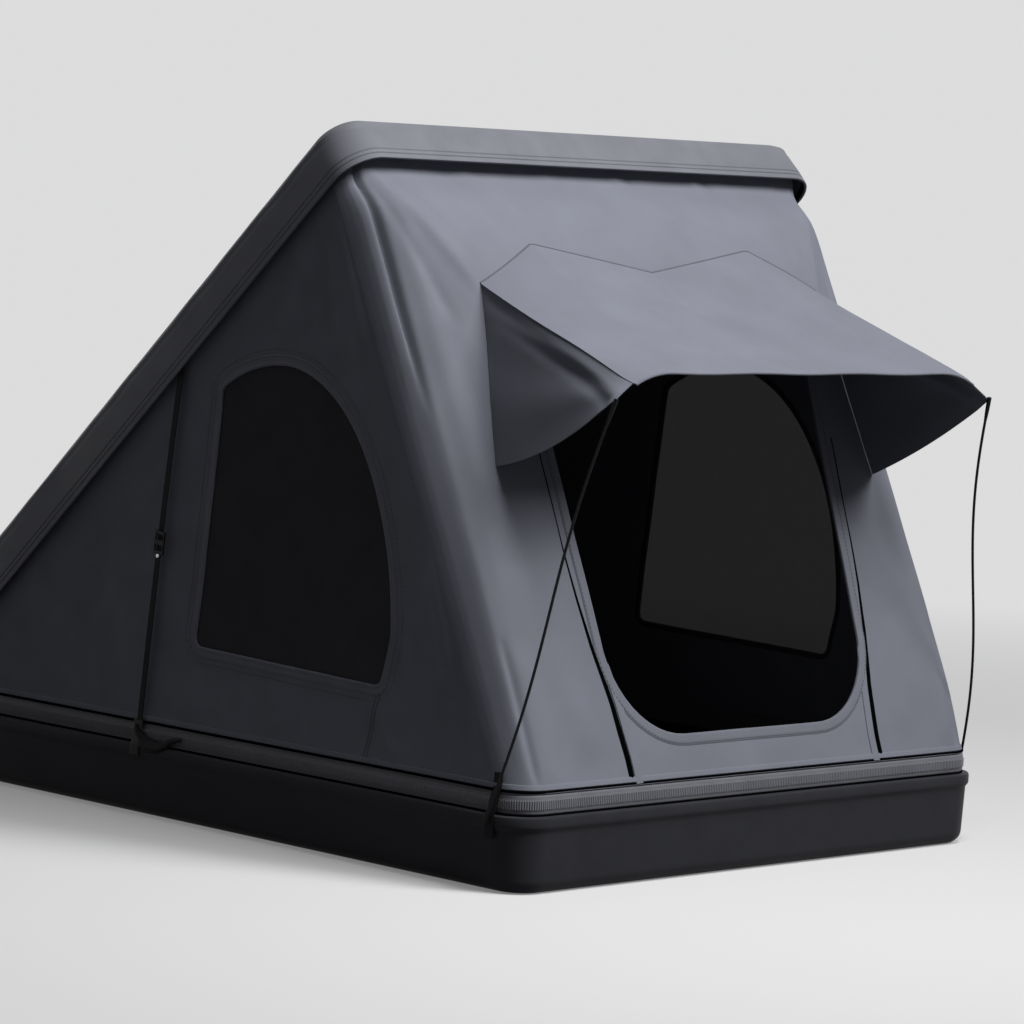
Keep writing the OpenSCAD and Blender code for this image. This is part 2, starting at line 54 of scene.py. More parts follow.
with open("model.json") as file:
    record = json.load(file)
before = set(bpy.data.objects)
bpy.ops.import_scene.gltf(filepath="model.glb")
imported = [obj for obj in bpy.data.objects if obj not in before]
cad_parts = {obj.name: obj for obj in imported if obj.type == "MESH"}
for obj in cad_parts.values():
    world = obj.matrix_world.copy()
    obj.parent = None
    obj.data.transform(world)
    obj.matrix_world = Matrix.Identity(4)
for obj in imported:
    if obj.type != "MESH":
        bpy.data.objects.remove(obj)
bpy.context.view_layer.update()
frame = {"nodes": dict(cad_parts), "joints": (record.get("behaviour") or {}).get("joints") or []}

# Main sizes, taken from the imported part. Metres, +Z up, door end at -Y, hinge end at +Y.
HALF_W, HALF_L, TRAY_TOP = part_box("base_tray")[1]
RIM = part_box("rim_band")[1].z
BAND_IN = HALF_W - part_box("rim_band")[1].x
HINGE = next(j for j in frame["joints"] if j["name"] == "lid_hinge")
PIN_Y, PIN_Z = HINGE["pos_m"][1:]
OPEN = math.radians(HINGE["range_deg"][1])
SIDES = ((-1, "left"), (1, "right"))

# Shells: radius of their corners, wall and top of the closed lid, and the rectangle between the corners' centres
CORNER = 0.090
LID_T = 0.005
LID_TOP = 0.290
CORE_X = HALF_W - CORNER
CORE_Y = HALF_L - CORNER

# Walls: how far their foot and head stand inside the shells' outline, their head's height in the closed lid, the side
# walls' distance from the middle plane, and where their rear ends begin
WALL_IN = BAND_IN + 0.004
LID_IN = LID_T + 0.016
HEAD = RIM + 0.0077
SIDE_X = HALF_W - WALL_IN - 0.0003
SIDE_REAR = 0.80


def opened(y, z):
    """Place of a point of the closed lid when the lid is open."""
    dy, dz = y - PIN_Y, z - PIN_Z
    return (PIN_Y + dy * math.cos(OPEN) + dz * math.sin(OPEN),
            PIN_Z - dy * math.sin(OPEN) + dz * math.cos(OPEN))


FRONT_HEAD_Y, FRONT_HEAD_Z = opened(-HALF_L + LID_IN, HEAD)
FRONT_FOOT_Y = -HALF_L + WALL_IN
FRONT_SLOPE = (FRONT_HEAD_Y - FRONT_FOOT_Y) / (FRONT_HEAD_Z - RIM)
FRONT_NORMAL = Vector((0, -1, FRONT_SLOPE)).normalized()

# Awning: its free edge, half widths at the wall and at that edge, the height where it pulls on the wall, its zigzag
# seam as shares of the half width and heights, its distance from the wall, and the droop of its corners
AWNING_Z = 1.100
AWNING_Y = -HALF_L - 0.080
AWNING_ROOT = HALF_W - 0.210
AWNING_HALF = HALF_W - 0.195
ROOT_Z = 1.320
ZIGZAG_AT, ZIGZAG_Z = (0, 0.64, 1.0), (1.298, 1.354, 1.266)
AWNING_OFF = 0.002
CORNER_DROP = 0.024

# Wings below the awning's ends: height of the tip, then for each side the foot on the wall and the lower edge's bow
WING_FOOT = 0.880
WING_TIP = AWNING_Z - 0.058
WING_CUT = {-1: (WING_FOOT, 0.22), 1: (WING_FOOT - 0.035, 0.40)}

# How soft pieces would flatten when the lid closes: axis, anchor and the share of their size that they keep. They are
# not applied here; a piece given one only gets a mesh of its own.
FOLDS_DOWN = ((0, 0, 1), (0, 0, RIM), 0.03)
DRAWS_BACK = ((0, -0.12, 0.99), (0, -0.99, RIM - 0.013), 0.01)
DRAWS_IN = ((0, 0.98, 0.20), (0, 0.985, RIM), 0.02)
ROLLS_IN = ((0, 0.70, 0.714), (0, CORE_Y, RIM), 0.02)
TUCKS_UNDER = ((0, 0, 1), (0, 0, TRAY_TOP + 0.0005), 0.03)


def length_prop(name, text, value):
    """A length that the user may change."""
    return FloatProperty(name=name, description=text, default=value, unit="LENGTH")


def colour_prop(name, text, value):
    """A colour that the user may change."""
    return FloatVectorProperty(name=name, description=text, default=value, size=3, subtype="COLOR", min=0, max=1)


class TentSizes(bpy.types.PropertyGroup):
    """Sizes of the sewn and fitted detail."""
    canvas_t: length_prop("Canvas", "Thickness of the wall canvas", 0.002)
    binding: length_prop("Binding", "Width of the tape round door and windows", 0.022)
    stitch: length_prop("Stitch pitch", "Distance from stitch to stitch", 0.009)
    zip_pitch: length_prop("Zip pitch", "Distance from zip rib to zip rib", 0.0054)
    rod_r: length_prop("Rod radius", "Radius of the awning rods", 0.0032)
    strap: length_prop("Strap width", "Width of the side straps", 0.017)
    pull: length_prop("Awning pull", "How far the awning pulls the front wall out", 0.110)
    bed_swell: length_prop("Bed swell", "Most that the mattress cover may swell", 0.010)


class TentColours(bpy.types.PropertyGroup):
    """Colours of the finishes."""
    canvas: colour_prop("Canvas", "Coated wall canvas", (0.164, 0.171, 0.205))
    binding: colour_prop("Binding", "Tape round door and windows", (0.154, 0.160, 0.191))
    lid: colour_prop("Lid", "Moulded lid", (0.144, 0.148, 0.169))
    tray: colour_prop("Tray", "Moulded base tray", (0.031, 0.0315, 0.0365))
    band: colour_prop("Band", "Zip band on the tray", (0.162, 0.165, 0.183))
    trim: colour_prop("Trim", "Webbing, rods and buckles", (0.006, 0.006, 0.007))
    mesh: colour_prop("Mesh", "Insect mesh of the windows", (0.085, 0.083, 0.092))
    steel: colour_prop("Steel", "Pins, studs and strut rods", (0.52, 0.52, 0.53))
    alloy: colour_prop("Alloy", "Rails under the floor and in the lid", (0.45, 0.45, 0.46))
    liner: colour_prop("Liner", "Lining of the lid", (0.045, 0.045, 0.050))
    bed: colour_prop("Bed", "Cover of the mattress", (0.120, 0.120, 0.130))
    board: colour_prop("Board", "Floor board", (0.16, 0.11, 0.07))
    floor: colour_prop("Floor", "Studio floor", (0.84, 0.84, 0.85))


def sizes():
    return bpy.context.scene.tent_sizes


def colours():
    return bpy.context.scene.tent_colours


# Finishes

def finish(name, colour, rough, **sockets):
    """New material on one Principled shader, with its constant sockets set."""
    material = bpy.data.materials.new("tent_" + name)
    material.use_nodes = True
    tree = material.node_tree
    shader = tree.nodes["Principled BSDF"]
    shader.inputs["Base Color"].default_value = (*colour, 1)
    shader.inputs["Roughness"].default_value = rough
    for socket, value in sockets.items():
        shader.inputs[socket.replace("_", " ")].default_value = value
    return material, tree, shader


def feed(tree, socket, value):
    """Links a socket to another node's output, or sets its value."""
    if isinstance(value, bpy.types.NodeSocket):
        tree.links.new(value, socket)
    else:
        socket.default_value = value


def add(tree, kind, **inputs):
    """New node with the given inputs, each a value or another node's output."""
    item = tree.nodes.new(kind)
    for socket, value in inputs.items():
        feed(tree, item.inputs[socket], value)
    return item


def blend(tree, share, one, two):
    """Colour from one to two, each a value or another node's output."""
    mix = tree.nodes.new("ShaderNodeMix")
    mix.data_type = "RGBA"
    for socket, value in ((0, share), (6, one), (7, two)):
        feed(tree, mix.inputs[socket], value)
    return mix.outputs[2]


def place_of(tree, uv=False):
    return tree.nodes.new("ShaderNodeTexCoord").outputs["UV" if uv else "Object"]


def noise(tree, where, scale, detail=3.0, stretch=None):
    """Noise height at a place, its pattern stretched if asked."""
    if stretch:
        where = add(tree, "ShaderNodeMapping", Vector=where, Scale=stretch).outputs[0]
    return add(tree, "ShaderNodeTexNoise", Vector=where, Scale=scale, Detail=detail).outputs[0]


def spread(tree, height, low, high):
    """A noise height, which mostly lies between 0.3 and 0.7, laid over low to high."""
    limits = {"From Min": 0.3, "From Max": 0.7, "To Min": low, "To Max": high}
    return add(tree, "ShaderNodeMapRange", Value=height, **limits).outputs[0]


def mottle(tree, shader, colour, height, low, high):
    """Base colour that varies with a noise height from low to high times the colour."""
    tones = ((*[c * share for c in colour], 1) for share in (low, high))
    feed(tree, shader.inputs["Base Color"], blend(tree, spread(tree, height, 0, 1), *tones))


def vary_rough(tree, shader, height, low, high):
    """Roughness that varies with a noise height."""
    feed(tree, shader.inputs["Roughness"], spread(tree, height, low, high))


def relief(tree, shader, *layers):
    """Bump of several layers, each a height, a depth in metres and a strength."""
    normal = None
    for height, depth, strength in layers:
        item = add(tree, "ShaderNodeBump", Height=height, Distance=depth, Strength=strength)
        if normal:
            tree.links.new(normal, item.inputs["Normal"])
        normal = item.outputs[0]
    tree.links.new(normal, shader.inputs["Normal"])


def weave(tree, pitch, along="X"):
    """Height of one thread direction over the piece's UV map, which is in metres."""
    wave = add(tree, "ShaderNodeTexWave", Vector=place_of(tree, True), Scale=2 * math.pi / (20 * pitch))
    wave.bands_direction = along
    return wave.outputs[1]


def canvas_finish(name, colour, pitch=0.0022, rough=0.74):
    """Coated canvas: two thread directions, soft mottling and a little sheen."""
    material, tree, shader = finish(name, colour, rough, Specular_IOR_Level=0.14)
    where = place_of(tree)
    mottle(tree, shader, colour, noise(tree, where, 7, 5), 0.95, 1.05)
    vary_rough(tree, shader, noise(tree, where, 18, 4), rough - 0.07, rough + 0.06)
    relief(tree, shader, (weave(tree, pitch, "X"), 0.00022, 0.55), (weave(tree, pitch, "Y"), 0.00022, 0.55),
           (noise(tree, where, 34, 4), 0.0014, 0.25), (noise(tree, where, 420, 2), 0.0002, 0.3))
    return material


def webbing_finish(name, colour):
    """Ribbed tape: ribs across, finer threads along."""
    material, tree, shader = finish(name, colour, 0.62, Specular_IOR_Level=0.06)
    mottle(tree, shader, colour, noise(tree, place_of(tree), 60, 3), 0.8, 1.25)
    relief(tree, shader, (weave(tree, 0.0026, "X"), 0.0004, 0.7), (weave(tree, 0.0034, "Y"), 0.0002, 0.5))
    return material


def moulded_finish(name, colour, rough, grain=900, gloss=0.3):
    """Moulded plastic: fine grain, uneven gloss, light scuffs."""
    material, tree, shader = finish(name, colour, rough, Specular_IOR_Level=gloss)
    where = place_of(tree)
    mottle(tree, shader, colour, noise(tree, where, 14, 6, (1, 0.35, 1)), 0.92, 1.09)
    vary_rough(tree, shader, noise(tree, where, 5, 5), rough - 0.05, rough + 0.07)
    relief(tree, shader, (noise(tree, where, grain, 2), 0.00012, 0.5), (noise(tree, where, 9, 3), 0.0006, 0.25))
    return material


def metal_finish(name, colour, rough, stretch):
    """Drawn or brushed metal, its lines along one axis."""
    material, tree, shader = finish(name, colour, rough, Metallic=1.0)
    lines = noise(tree, place_of(tree), 500, 3, stretch)
    mottle(tree, shader, colour, lines, 0.88, 1.08)
    vary_rough(tree, shader, lines, rough - 0.06, rough + 0.1)
    relief(tree, shader, (lines, 0.00005, 0.4))
    return material


def coated_finish(name, colour, rough=0.5):
    """Powder coat: orange peel on dark paint."""
    material, tree, shader = finish(name, colour, rough)
    where = place_of(tree)
    mottle(tree, shader, colour, noise(tree, where, 40, 4), 0.8, 1.2)
    relief(tree, shader, (noise(tree, where, 700, 2), 0.00015, 0.5))
    return material


def board_finish(name, colour):
    """Sealed plywood: long grain."""
    material, tree, shader = finish(name, colour, 0.55)
    grain = noise(tree, place_of(tree), 26, 5, (3, 0.25, 3))
    mottle(tree, shader, colour, grain, 0.7, 1.2)
    relief(tree, shader, (grain, 0.0003, 0.4))
    return material


def mesh_finish(name, colour):
    """Fine insect mesh: almost closed, with its net as relief."""
    material, tree, shader = finish(name, colour, 0.8, Alpha=0.865, Specular_IOR_Level=0.0)
    mottle(tree, shader, colour, noise(tree, place_of(tree), 12, 4), 0.94, 1.06)
    relief(tree, shader, (weave(tree, 0.0018, "X"), 0.0002, 0.5), (weave(tree, 0.0018, "Y"), 0.0002, 0.5))
    return material


# Each finish: its maker, the colour it takes, how much of that colour, and the maker's other values
FINISHES = {
    "canvas": (canvas_finish, "canvas", 1),
    "binding": (canvas_finish, "binding", 1, 0.0016, 0.66),
    # thread: canvas at 0.62 of its colour; the darkening is painted shade along stitch and seam lines
    "thread": (canvas_finish, "canvas", 0.62, 0.0016),
    "webbing": (webbing_finish, "trim", 1),
    "lid": (moulded_finish, "lid", 1, 0.52, 900, 0.14),
    "tray": (moulded_finish, "tray", 1, 0.48, 700, 0.05),
    "band": (moulded_finish, "band", 1, 0.54, 800, 0.08),
    "zip": (moulded_finish, "band", 1.22, 0.50, 600, 0.10),
    "trim": (moulded_finish, "trim", 1, 0.44, 800, 0.10),
    # gap: painted shade. Trim at 0.3 of its colour and without gloss, for cords and sheets that stand for the shadow in
    # gaps between pieces
    "gap": (moulded_finish, "trim", 0.3, 0.85, 500, 0.0),
    "seal": (moulded_finish, "trim", 1, 0.72, 500, 0.05),
    "mesh": (mesh_finish, "mesh", 1),
    "steel": (metal_finish, "steel", 1, 0.28, (1, 0.05, 1)),
    "alloy": (metal_finish, "alloy", 1, 0.40, (1, 0.03, 1)),
    "black_steel": (coated_finish, "trim", 1),
    "liner": (canvas_finish, "liner", 1, 0.003, 0.85),
    "bed": (canvas_finish, "bed", 1, 0.003, 0.85),
    "board": (board_finish, "board", 1),
}


def finish_named(name):
    """One of the tent's finishes, made on first use. The part's own materials have names without tent_."""
    found = bpy.data.materials.get("tent_" + name)
    if found:
        return found
    maker, colour, share, *values = FINISHES[name]
    return maker(name, [share * c for c in getattr(colours(), colour)], *values)


# Modelling

def begin():
    """Object mode with nothing selected."""
    if bpy.context.mode != "OBJECT":
        bpy.ops.object.mode_set(mode="OBJECT")
    bpy.ops.object.select_all(action="DESELECT")


def choose(obj):
    begin()
    obj.select_set(True)
    bpy.context.view_layer.objects.active = obj


def named(name):
    obj = bpy.context.active_object
    obj.name = obj.data.name = name
    return obj


def points(obj):
    co = np.empty(len(obj.data.vertices) * 3)
    obj.data.vertices.foreach_get("co", co)
    return co.reshape(-1, 3)


def put(obj, co):
    obj.data.vertices.foreach_set("co", np.asarray(co, float).ravel())
    obj.data.update()


def of_faces(obj, key):
    """Centres or normals of an object's faces."""
    values = np.empty(len(obj.data.polygons) * 3)
    obj.data.polygons.foreach_get(key, values)
    return values.reshape(-1, 3)


def edge_ends(obj):
    ends = np.empty(len(obj.data.edges) * 2, int)
    obj.data.edges.foreach_get("vertices", ends)
    return ends.reshape(-1, 2)


def mark(obj, faces=None, edges=None):
    """Selects the given faces or edges of an object, and nothing else."""
    bpy.context.tool_settings.mesh_select_mode = (False, edges is not None, faces is not None)
    for items, chosen in ((obj.data.vertices, None), (obj.data.edges, edges), (obj.data.polygons, faces)):
        items.foreach_set("select", np.zeros(len(items), bool) if chosen is None else chosen)


def modify(obj, kind, **settings):
    """Adds a modifier and applies it."""
    choose(obj)
    item = obj.modifiers.new(kind.title(), kind)
    for key, value in settings.items():
        setattr(item, key, value)
    bpy.ops.object.modifier_apply(modifier=item.name)


@contextmanager
def editing(kind=None):
    """Edit mode of the active object, selecting by edge or face if asked."""
    bpy.ops.object.mode_set(mode="EDIT")
    if kind:
        bpy.ops.mesh.select_mode(type=kind)
    yield
    bpy.ops.object.mode_set(mode="OBJECT")


def in_edit(obj, *steps):
    """Runs mesh operators on the whole of an object in edit mode."""
    choose(obj)
    with editing():
        bpy.ops.mesh.select_all(action="SELECT")
        for operator, settings in steps:
            operator(**settings)


def weld(obj, distance=1e-5):
    in_edit(obj, (bpy.ops.mesh.remove_doubles, {"threshold": distance}))


def cut_faces(obj, gone):
    mark(obj, faces=gone)
    choose(obj)
    with editing("FACE"):
        bpy.ops.mesh.delete(type="FACE")


def thicken(obj, thick, outward):
    """Turns an open sheet's faces to the side that shows, and gives it its thickness inwards from there."""
    if (of_faces(obj, "normal") @ np.asarray(outward, float)).sum() < 0:
        in_edit(obj, (bpy.ops.mesh.flip_normals, {}))
    modify(obj, "SOLIDIFY", thickness=thick, offset=-1)


def settle(obj, body, look, slot, *nodes, angle=40, squash=None):
    """Last steps of a piece: smooth shading, finish, the CAD nodes it stands for, and its body."""
    choose(obj)
    bpy.ops.object.shade_smooth_by_angle(angle=math.radians(angle))
    obj.data.materials.clear()
    obj.data.materials.append(finish_named(look))
    if nodes:
        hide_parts(*nodes)
    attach(obj, body)
    if squash:
        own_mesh(obj)


def sew(obj, thick, outward, look, slot, *nodes, squash=FOLDS_DOWN):
    """Last steps of a sewn piece: its thickness, and those of every piece. It rides on the base."""
    thicken(obj, thick, outward)
    settle(obj, "base", look, slot, *nodes, squash=squash)


def core_of(flat):
    """Nearest points of the rectangle between the centres of the shells' corners."""
    return np.clip(flat, (-CORE_X, -CORE_Y), (CORE_X, CORE_Y))


def rings_on(section):
    """Rings that follow the shells' outline, from insets and heights."""
    return [(HALF_W - inset, HALF_L - inset, CORNER - inset, 0.0, z) for inset, z in section]


def moulding(name, rings, steps=12, cuts=0, joined=False):
    """Moulding of rounded rectangles: a plane with bevelled corners, extruded from ring to ring.
    A ring is its half sizes, corner radius, middle and height. The ends are closed, or joined to each other."""
    begin()
    bpy.ops.mesh.primitive_plane_add(size=2)
    obj = named(name)
    with editing():
        bpy.ops.transform.resize(value=(HALF_W, HALF_L, 1))
        bpy.ops.mesh.bevel(affect="VERTICES", offset=CORNER, segments=steps)
    if cuts:
        a, b = points(obj)[edge_ends(obj)].swapaxes(0, 1)
        mark(obj, edges=np.linalg.norm(a - b, axis=1) > CORNER)
        with editing("EDGE"):
            bpy.ops.mesh.subdivide(number_cuts=cuts)
    flat = points(obj)[:, :2]
    core = core_of(flat)
    share = core / (CORE_X, CORE_Y)
    out = (flat - core) / np.linalg.norm(flat - core, axis=1, keepdims=True)

    def ring(half_w, half_l, radius, middle, z):
        xy = share * (half_w - radius, half_l - radius) + out * radius
        return np.column_stack([xy[:, 0], xy[:, 1] + middle, np.full(len(xy), z)])

    in_edit(obj, (bpy.ops.mesh.delete, {"type": "ONLY_FACE"}), (bpy.ops.mesh.select_all, {"action": "SELECT"}))
    old = ring(*rings[0])
    put(obj, old)
    for spec in rings[1:] + (rings[:1] if joined else []):
        choose(obj)
        with editing("EDGE"):
            bpy.ops.mesh.extrude_edges_move()
        chosen = np.empty(len(obj.data.vertices), bool)
        obj.data.vertices.foreach_get("select", chosen)
        co = points(obj)
        new = ring(*spec)
        nearest = np.argmin(np.linalg.norm(co[chosen][:, None] - old[None], axis=2), axis=1)
        co[chosen] = new[nearest]
        put(obj, co)
        old = new
    if joined:
        weld(obj)
    else:
        for spec in (rings[0], rings[-1]):
            near = np.linalg.norm(points(obj)[:, None] - ring(*spec)[None], axis=2).min(axis=1) < 1e-6
            mark(obj, edges=near[edge_ends(obj)].all(axis=1))
            choose(obj)
            with editing("EDGE"):
                bpy.ops.mesh.edge_face_add()
    in_edit(obj, (bpy.ops.mesh.normals_make_consistent, {"inside": False}))
    return obj


def shadow_cord_on(name, inset, z, radius):
    """Black round cord along the shells' outline, in the gap finish: it paints the shadow in a gap between two pieces.
    """
    turns = np.linspace(0, 2 * math.pi, 9)[:-1]
    bead = [(inset + radius * math.cos(a), z + radius * math.sin(a)) for a in turns]
    settle(moulding(name, rings_on(bead), 14, joined=True), "base", "gap", "binding")


def cloth(name, columns, rows, place, size):
    """Grid of cloth: place gives its points from shares across and up, size is its flat size for the UV map."""
    begin()
    bpy.ops.mesh.primitive_grid_add(x_subdivisions=columns, y_subdivisions=rows, size=2)
    obj = named(name)
    share = (points(obj)[:, :2] + 1) / 2
    corners = np.empty(len(obj.data.loops), int)
    obj.data.loops.foreach_get("vertex_index", corners)
    obj.data.uv_layers.active.data.foreach_set("uv", (share[corners] * size).ravel())
    put(obj, place(share[:, 0], share[:, 1]))
    return obj


def step_of(share, count):
    """Which of count even steps a share from 0 to 1 stands for."""
    return np.rint(share * (count - 1)).astype(int)


def inside(p, outline):
    """Which 2D points lie inside a closed outline."""
    hit = np.zeros(len(p), bool)
    for a, b in zip(outline, np.roll(outline, -1, axis=0)):
        cross = (a[1] > p[:, 1]) != (b[1] > p[:, 1])
        if a[1] != b[1]:
            hit ^= cross & (p[:, 0] < (b[0] - a[0]) * (p[:, 1] - a[1]) / (b[1] - a[1]) + a[0])
    return hit


def trim(obj, outline, axes, surface, keep=False):
    """Cuts an outline out of a sheet, or keeps only that, and lays the cut edge on the outline."""
    cut_faces(obj, inside(of_faces(obj, "center")[:, axes], outline) != keep)
    edges = np.empty(len(obj.data.loops), int)
    obj.data.loops.foreach_get("edge_index", edges)
    rim = np.unique(edge_ends(obj)[np.bincount(edges, minlength=len(obj.data.edges)) == 1])
    co = points(obj)
    gap = np.linalg.norm(co[rim][:, None, axes] - outline[None], axis=2)
    near = gap.min(axis=1) < 0.03
    co[rim[near]] = surface(outline[gap.argmin(axis=1)[near]], 0)
    put(obj, co)


def evenly(path, step, closed=True):
    """Path of 2D or 3D points, laid out again at even steps."""
    path = np.asarray(path, float)
    if closed:
        path = np.vstack([path, path[:1]])
    run = np.concatenate([[0], np.cumsum(np.linalg.norm(np.diff(path, axis=0), axis=1))])
    count = max(int(round(run[-1] / step)), 2)
    at = np.linspace(0, run[-1], count + 1)
    if closed:
        at = at[:-1]
    return np.column_stack([np.interp(at, run, path[:, k]) for k in range(path.shape[1])])


def tangents(path, closed):
    if closed:
        return np.roll(path, -1, axis=0) - np.roll(path, 1, axis=0)
    return np.gradient(path, axis=0)


def sideways(path, closed):
    """Outward normals of a counter-clockwise 2D path."""
    way = tangents(path, closed)
    way /= np.linalg.norm(way, axis=1, keepdims=True)
    return np.column_stack([way[:, 1], -way[:, 0]])


def bezier(a, b, c, s):
    return a * (1 - s) ** 2 + 2 * b * s * (1 - s) + c * s * s


def rounded(corners, radius):
    """Outline with its sharp corners rounded."""
    corners = np.asarray(corners, float)
    path = []
    for a, b, c in zip(np.roll(corners, 1, axis=0), corners, np.roll(corners, -1, axis=0)):
        one, two = (a - b) / np.linalg.norm(a - b), (c - b) / np.linalg.norm(c - b)
        turn = math.pi - math.acos(np.clip(one @ two, -1, 1))
        if turn < 0.35:
            path.append(b)
            continue
        reach = min(radius * math.tan(turn / 2), 0.45 * np.linalg.norm(a - b), 0.45 * np.linalg.norm(c - b))
        path += [bezier(b + one * reach, b, b + two * reach, t) for t in np.linspace(0, 1, 9)]
    return np.array(path)


def ribbon(name, path, profile, surface, closed=True):
    """Tape sewn on a surface: profile gives offset from the path and height above the cloth."""
    profile = np.asarray(profile, float)
    out = sideways(path, closed)
    columns = len(path) if closed else len(path) - 1

    def place(u, v):
        k = step_of(u, columns + 1) % len(path)
        row = step_of(v, len(profile))
        return surface(path[k] + out[k] * profile[row, :1], profile[row, 1])

    length = np.linalg.norm(np.diff(path, axis=0), axis=1).sum()
    obj = cloth(name, columns, len(profile) - 1, place, (length, np.ptp(profile[:, 0])))
    if closed:
        weld(obj)
    return obj


def tube(name, path, radii, sides=3):
    """Round bar along 3D points with a radius at each, as a bevelled curve made a mesh."""
    curve = bpy.data.curves.new(name, "CURVE")
    curve.dimensions, curve.bevel_depth, curve.bevel_resolution, curve.use_fill_caps = "3D", 1, sides, True
    spline = curve.splines.new("POLY")
    spline.points.add(len(path) - 1)
    for point, co, radius in zip(spline.points, path, radii):
        point.co, point.radius = (*co, 1), radius
    obj = bpy.data.objects.new(name, curve)
    bpy.context.scene.collection.objects.link(obj)
    choose(obj)
    bpy.ops.object.convert(target="MESH")
    return named(name)


def row_of(name, template, matrices):
    """One object of many copies of a template, each set by its own matrix. The template is used up."""
    co = points(template)
    faces = [list(p.vertices) for p in template.data.polygons]
    every, sides = [], []
    for k, m in enumerate(matrices):
        m = np.array(m)
        every.append(co @ m[:3, :3].T + m[:3, 3])
        sides += [[i + k * len(co) for i in f] for f in faces]
    data = bpy.data.meshes.new(name)
    data.from_pydata(np.vstack(every).tolist(), [], sides)
    obj = bpy.data.objects.new(name, data)
    bpy.context.scene.collection.objects.link(obj)
    bpy.data.objects.remove(template)
    return obj


def pellet(length, width, height):
    """Template of a stitch or zip rib: a bevelled block along X, with its top towards +Z."""
    begin()
    bpy.ops.mesh.primitive_cube_add(size=1)
    obj = named("pellet")
    with editing():
        bpy.ops.transform.resize(value=(length, width, height))
        bpy.ops.mesh.bevel(offset=0.3 * min(length, width, height), segments=1)
    return obj


def frames_on(path, surface, offset, height, closed=True):
    """Matrices along a path on a surface: X along the path, Z off the cloth."""
    path = path + sideways(path, closed) * offset
    low, high = (surface(path, np.full(len(path), off)) for off in (0, 0.01))
    result = []
    for p, up, x in zip(low, high - low, tangents(low, closed)):
        z = Vector(up).normalized()
        x = Vector(x).normalized()
        y = z.cross(x).normalized()
        result.append(Matrix((y.cross(z), y, z)).transposed().to_4x4())
        result[-1].translation = Vector(p) + z * height
    return result


def stitched(name, rows):
    """Stitches on the base's cloth, at the given matrices, in the darker thread finish, which paints shade along the
    stitch line.
    """
    stitches = row_of(name, pellet(sizes().stitch * 0.62, 0.0016, 0.0012), rows)
    settle(stitches, "base", "thread", "binding", squash=FOLDS_DOWN)


# Surfaces of the canvas

def ease(share):
    return np.sin(np.pi / 2 * np.clip(share, 0, 1))


def calm(*edges):
    """0 at each edge, 1 where every edge is further off than its reach."""
    return math.prod(ease(off / reach) for off, reach in edges)


def hump(off, width):
    return np.exp(-(off / width) ** 2)


def crease(p, a, b, width, depth):
    """Height of a fold along the line from a to b, fading out at both ends."""
    a, b = np.asarray(a, float), np.asarray(b, float)
    way = b - a
    t = ((p - a) @ way) / (way @ way)
    off = np.linalg.norm(p - a - np.outer(np.clip(t, 0, 1), way), axis=1)
    return depth * hump(off, width) * np.clip(np.minimum(t, 1 - t) * 5 + 0.35, 0, 1)


def folds(p, lines):
    return sum(crease(p, *line) for line in lines)


# Folds of the front wall's left half as (x, z) from, to, width and depth; the right half has them mirrored
FRONT_FOLDS = (
    ((-0.700, 1.49), (-0.615, 1.18), 0.013, -0.004),
    ((-0.672, 1.45), (-0.640, 0.78), 0.026, 0.006),
    ((-0.690, 1.52), (-0.545, 1.255), 0.014, 0.004),
    ((-0.640, 1.50), (-0.520, 1.300), 0.016, -0.003),
    ((-0.610, 1.10), (-0.585, 0.62), 0.040, -0.005),
    ((-0.686, 0.52), (-0.676, 0.205), 0.009, -0.006),
    ((-0.655, 0.50), (-0.640, 0.215), 0.026, 0.004),
    ((-0.560, 0.52), (-0.500, 0.280), 0.040, 0.004),
)
# Slanted wrinkles below the lid, not mirrored
HEAD_FOLDS = (
    ((0.060, 1.53), (0.165, 1.37), 0.014, 0.0030),
    ((0.100, 1.53), (0.225, 1.36), 0.013, -0.0030),
    ((0.330, 1.53), (0.400, 1.37), 0.012, 0.0035),
    ((0.365, 1.53), (0.450, 1.35), 0.013, -0.0035),
    ((-0.170, 1.53), (-0.080, 1.40), 0.018, 0.0020),
    ((-0.420, 1.54), (-0.330, 1.40), 0.016, 0.0022),
    ((-0.480, 1.54), (-0.400, 1.38), 0.018, -0.0022),
)
# Folds of both side walls as (y, z)
SIDE_FOLDS = (
    ((-0.36, 1.40), (-0.46, 1.10), 0.030, 0.006),
    ((-0.30, 1.36), (-0.34, 1.14), 0.024, -0.005),
    ((-0.22, 1.33), (-0.20, 1.12), 0.026, 0.004),
    ((-0.66, 0.86), (-0.78, 0.42), 0.036, 0.006),
    ((-0.72, 0.70), (-0.86, 0.30), 0.030, -0.005),
    ((0.20, 0.92), (0.22, 0.40), 0.050, 0.004),
    ((0.42, 0.70), (0.50, 0.30), 0.050, -0.004),
    ((-0.52, 0.36), (-0.60, 0.24), 0.024, 0.004),
)


def swell(a, b):
    """Slow unevenness of hung canvas."""
    return 0.0016 * np.sin(9.1 * a + 3.2 * b + 0.4) * np.sin(6.3 * b - 2.7 * a + 1.1) \
        + 0.0008 * np.sin(21 * a - 13 * b) * np.sin(17 * b + 5 * a)


def front_pull(x, z):
    """How far the awning pulls the front wall out: facets that meet in soft creases."""
    half, sharp = HALF_W - WALL_IN, 9
    shares = np.stack([(half - np.abs(x)) / (half - AWNING_ROOT), (FRONT_HEAD_Z - z) / (FRONT_HEAD_Z - ROOT_Z),
                       (z - RIM) / (ROOT_Z - RIM)])
    soft = -np.log(np.exp(-sharp * shares).sum(axis=0)) / sharp
    return sizes().pull * np.clip(soft + 0.04, 0, None)


